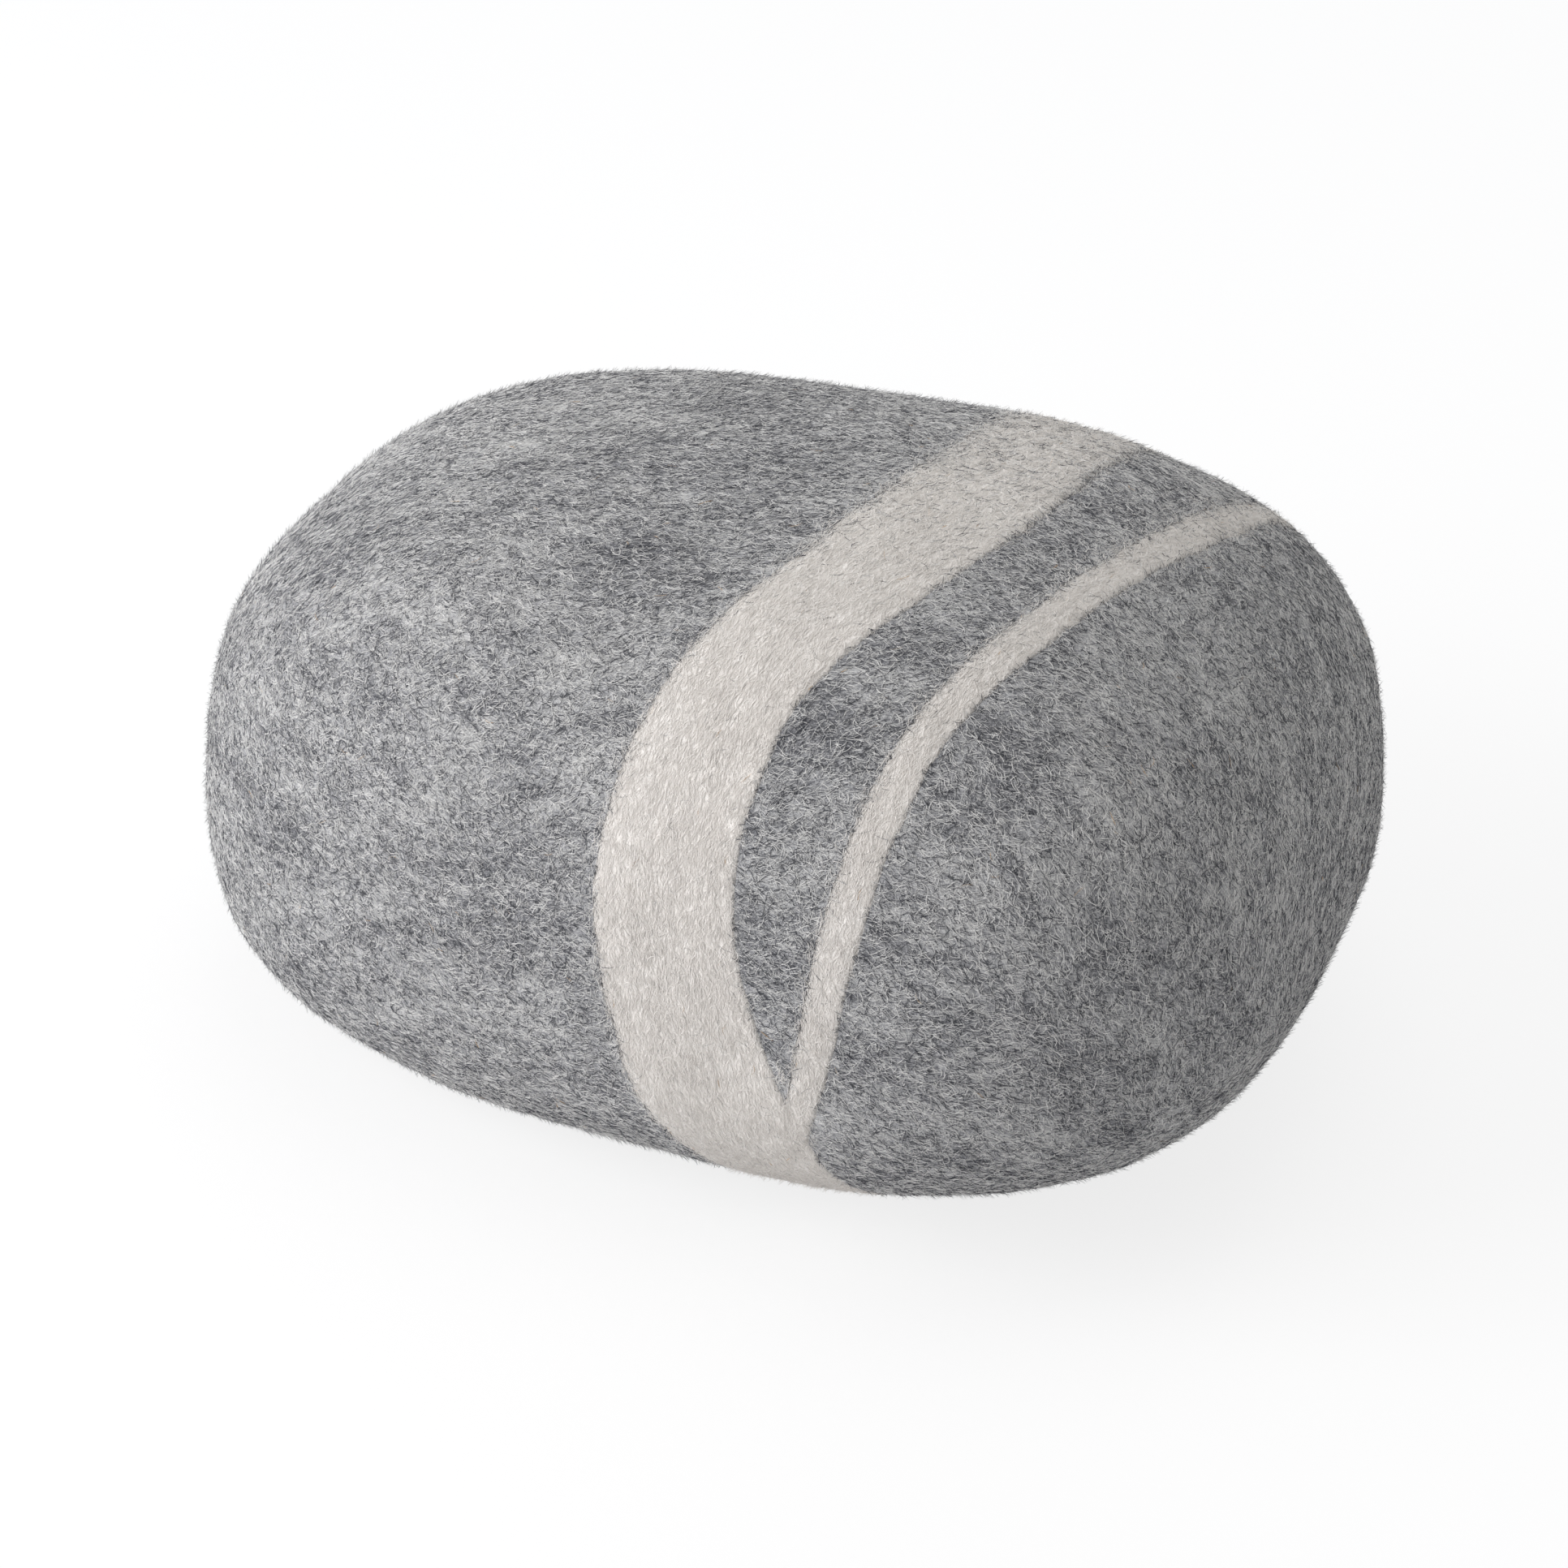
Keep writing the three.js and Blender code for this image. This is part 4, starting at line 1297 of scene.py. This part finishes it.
def fibres(name, pieces):
    """Short tangled fibres over the pieces' outer faces, a few of them standing free."""
    rng = np.random.default_rng(SEEDS["fibres"])
    counts = [int(FIBRE_COUNT * share) for share in FIBRE_SHARES]
    found = [sample_surface(piece, count, rng) for piece, count in zip(pieces, counts)]
    roots, normals = (np.concatenate(arrays) for arrays in zip(*found))
    total = len(roots)
    white, strewn, mixing, crease_shade = wool_at(roots, rng)
    flow = flow_at(roots, normals)
    lay = np.where(white[:, None], unit(np.cross(normals, LENGTHWAYS)), flow)
    scatter = np.where(white, WHITE_SCATTER, LAY_SCATTER) * rng.normal(size=total)
    points, free = strands(roots, normals, lay, scatter, rng)
    tone = np.where(white, white_tone(roots), grey_tone(roots, flow))
    darker = np.euler_gamma - rng.gumbel(size=total)  # evens out at 0, with more dark wool than light
    # the crease term darkens grey fibres with painted shade along the veins' right edges, partly darker
    # grey wool
    tone += np.where(white, WHITE_SPREAD, GREY_SPREAD) * darker - np.where(white, 0, CREASE_SHADE_DEPTH) * crease_shade
    stray = rng.random(total) < STRAY_SHARE
    strewn_fineness = np.minimum(STREWN_FINENESS * mixing, COARSEST_STREWN)
    fineness = np.where(strewn, strewn_fineness, np.where(free, LOOSE_FINENESS, 1))
    radius = between(FIBRE_RADIUS, rng.random(total)) * fineness
    curves = bpy.data.hair_curves.new(name)
    curves.add_curves([FIBRE_POINTS] * total)
    curves.attributes["position"].data.foreach_set("vector", points.astype(np.float32).ravel())
    values = {
        "radius": (radius[:, None] * FIBRE_TAPER, "POINT"), "tone": (tone, "CURVE"),
        "whiteness": (white, "CURVE"), "stray": (stray, "CURVE"),
    }
    for key, (value, domain) in values.items():
        attribute = curves.attributes.get(key) or curves.attributes.new(key, "FLOAT", domain)
        attribute.data.foreach_set("value", np.asarray(value, np.float32).ravel())
    curves.materials.append(fibre_wool)
    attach(in_scene(name, curves), BODY)


fibres("surface_fibres", [cover, wide_vein, narrow_vein])


# ---------- stage ----------
CAMERA_AZIMUTH = 25.6
CAMERA_ELEVATION = 31.4
CAMERA_DISTANCE = 7.185 * HALF_LENGTH
CAMERA_LENS = 96.9
CAMERA_SHIFT = (0.0022, 0.0078)
FLOOR_REACH = 12.0
ROOM_LIGHT = 0.44  # how brightly the white walls light the stone
FLOOR_FADE = (3.6, 7.0)  # how far from the camera the floor begins to fade into the walls, and has
RESTING_GAP = 20 * MM  # the floor lets light through to what is nearer than this
FLOOR_GLOW = 0.8  # how much of the floor's own white the camera sees, so shadows stay faint


# (name, place, size, power, colour)
LIGHTS = [
    ("key", (-2.2, -2.0, 1.5), 2.2, 84, (0.985, 0.985, 1.0)),
    ("side", (-3.0, -1.0, 1.6), 2.2, 33, (0.985, 0.985, 1.0)),
    ("top", (0.4, 0.3, 2.8), 2.0, 19, (1.0, 0.985, 0.96)),
    ("fill", (2.4, -1.6, 1.4), 2.4, 2.5, (1, 1, 1)),
    ("back", (-0.6, 2.4, 2.0), 2.4, 15, (0.86, 0.93, 1.0)),
]


def area_light(name, place, size, power, colour):
    """A square soft light that faces the stone."""
    data = bpy.data.lights.new(name, "AREA")
    data.size = size
    data.energy = power
    data.color = colour
    lamp = in_scene(name, data)
    lamp.location = place
    lamp.rotation_euler = (Vector(CENTRE) - Vector(place)).to_track_quat("-Z", "Y").to_euler()


def floor():
    """A pale floor that can't be seen from below, and lets light up to what rests on it."""
    shader = Shader("floor")
    shader.finish((0.92, 0.92, 0.925, 1), 0.9, shine=0.0)
    glow = shader.node("Emission", {"Color": (1, 1, 1, 1), "Strength": 1.0}).outputs[0]
    path = shader.node("LightPath").outputs
    fade = {"From Min": FLOOR_FADE[0], "From Max": FLOOR_FADE[1], "To Min": FLOOR_GLOW}
    glowing = shader.node("MapRange", {"Value": path["Ray Length"], **fade}).outputs[0]
    seen = shader.math("MULTIPLY", path["Is Camera Ray"], glowing)
    lit = shader.node("MixShader", {0: seen, 1: shader.surface.outputs[0], 2: glow}).outputs[0]
    clear = shader.node("BsdfTransparent").outputs[0]
    behind = shader.node("NewGeometry").outputs["Backfacing"]
    near = shader.math("LESS_THAN", path["Ray Length"], RESTING_GAP)
    near = shader.math("MULTIPLY", near, shader.math("SUBTRACT", 1.0, path["Is Camera Ray"]))
    mixed = shader.node("MixShader", {0: shader.math("MAXIMUM", behind, near), 1: lit, 2: clear})
    out = shader.tree.nodes["Material Output"]
    shader.tree.links.new(mixed.outputs[0], out.inputs["Surface"])
    corners = FLOOR_REACH * np.array([(-1, -1, 0), (1, -1, 0), (1, 1, 0), (-1, 1, 0)])
    ground = mesh_object("floor", corners, [(0, 1, 2, 3)], shader.material)


def camera():
    """The camera, a few steps away in front and to the right."""
    azimuth, elevation = math.radians(CAMERA_AZIMUTH), math.radians(CAMERA_ELEVATION)
    back = Vector((
        math.sin(azimuth) * math.cos(elevation),
        -math.cos(azimuth) * math.cos(elevation),
        math.sin(elevation),
    ))
    data = bpy.data.cameras.new("camera")
    data.lens = CAMERA_LENS
    data.sensor_width = 36.0
    data.shift_x, data.shift_y = CAMERA_SHIFT
    eye = in_scene("camera", data)
    eye.location = Vector(CENTRE) + back * CAMERA_DISTANCE
    eye.rotation_euler = (-back).to_track_quat("-Z", "Y").to_euler()
    bpy.context.scene.camera = eye


def studio():
    """White walls all round, which the camera sees brighter than they light the stone."""
    world = bpy.data.worlds.new("studio")
    world.use_nodes = True
    tree = world.node_tree
    background = tree.nodes["Background"]
    background.inputs["Color"].default_value = (1, 1, 1, 1)
    strength = tree.nodes.new("ShaderNodeMath")
    strength.operation = "MULTIPLY_ADD"
    strength.inputs[1].default_value = 1 - ROOM_LIGHT
    strength.inputs[2].default_value = ROOM_LIGHT
    tree.links.new(tree.nodes.new("ShaderNodeLightPath").outputs["Is Camera Ray"], strength.inputs[0])
    tree.links.new(strength.outputs[0], background.inputs["Strength"])
    bpy.context.scene.world = world


floor()
camera()
for light in LIGHTS:
    area_light(*light)
studio()
bpy.context.scene.view_settings.view_transform = "Standard"
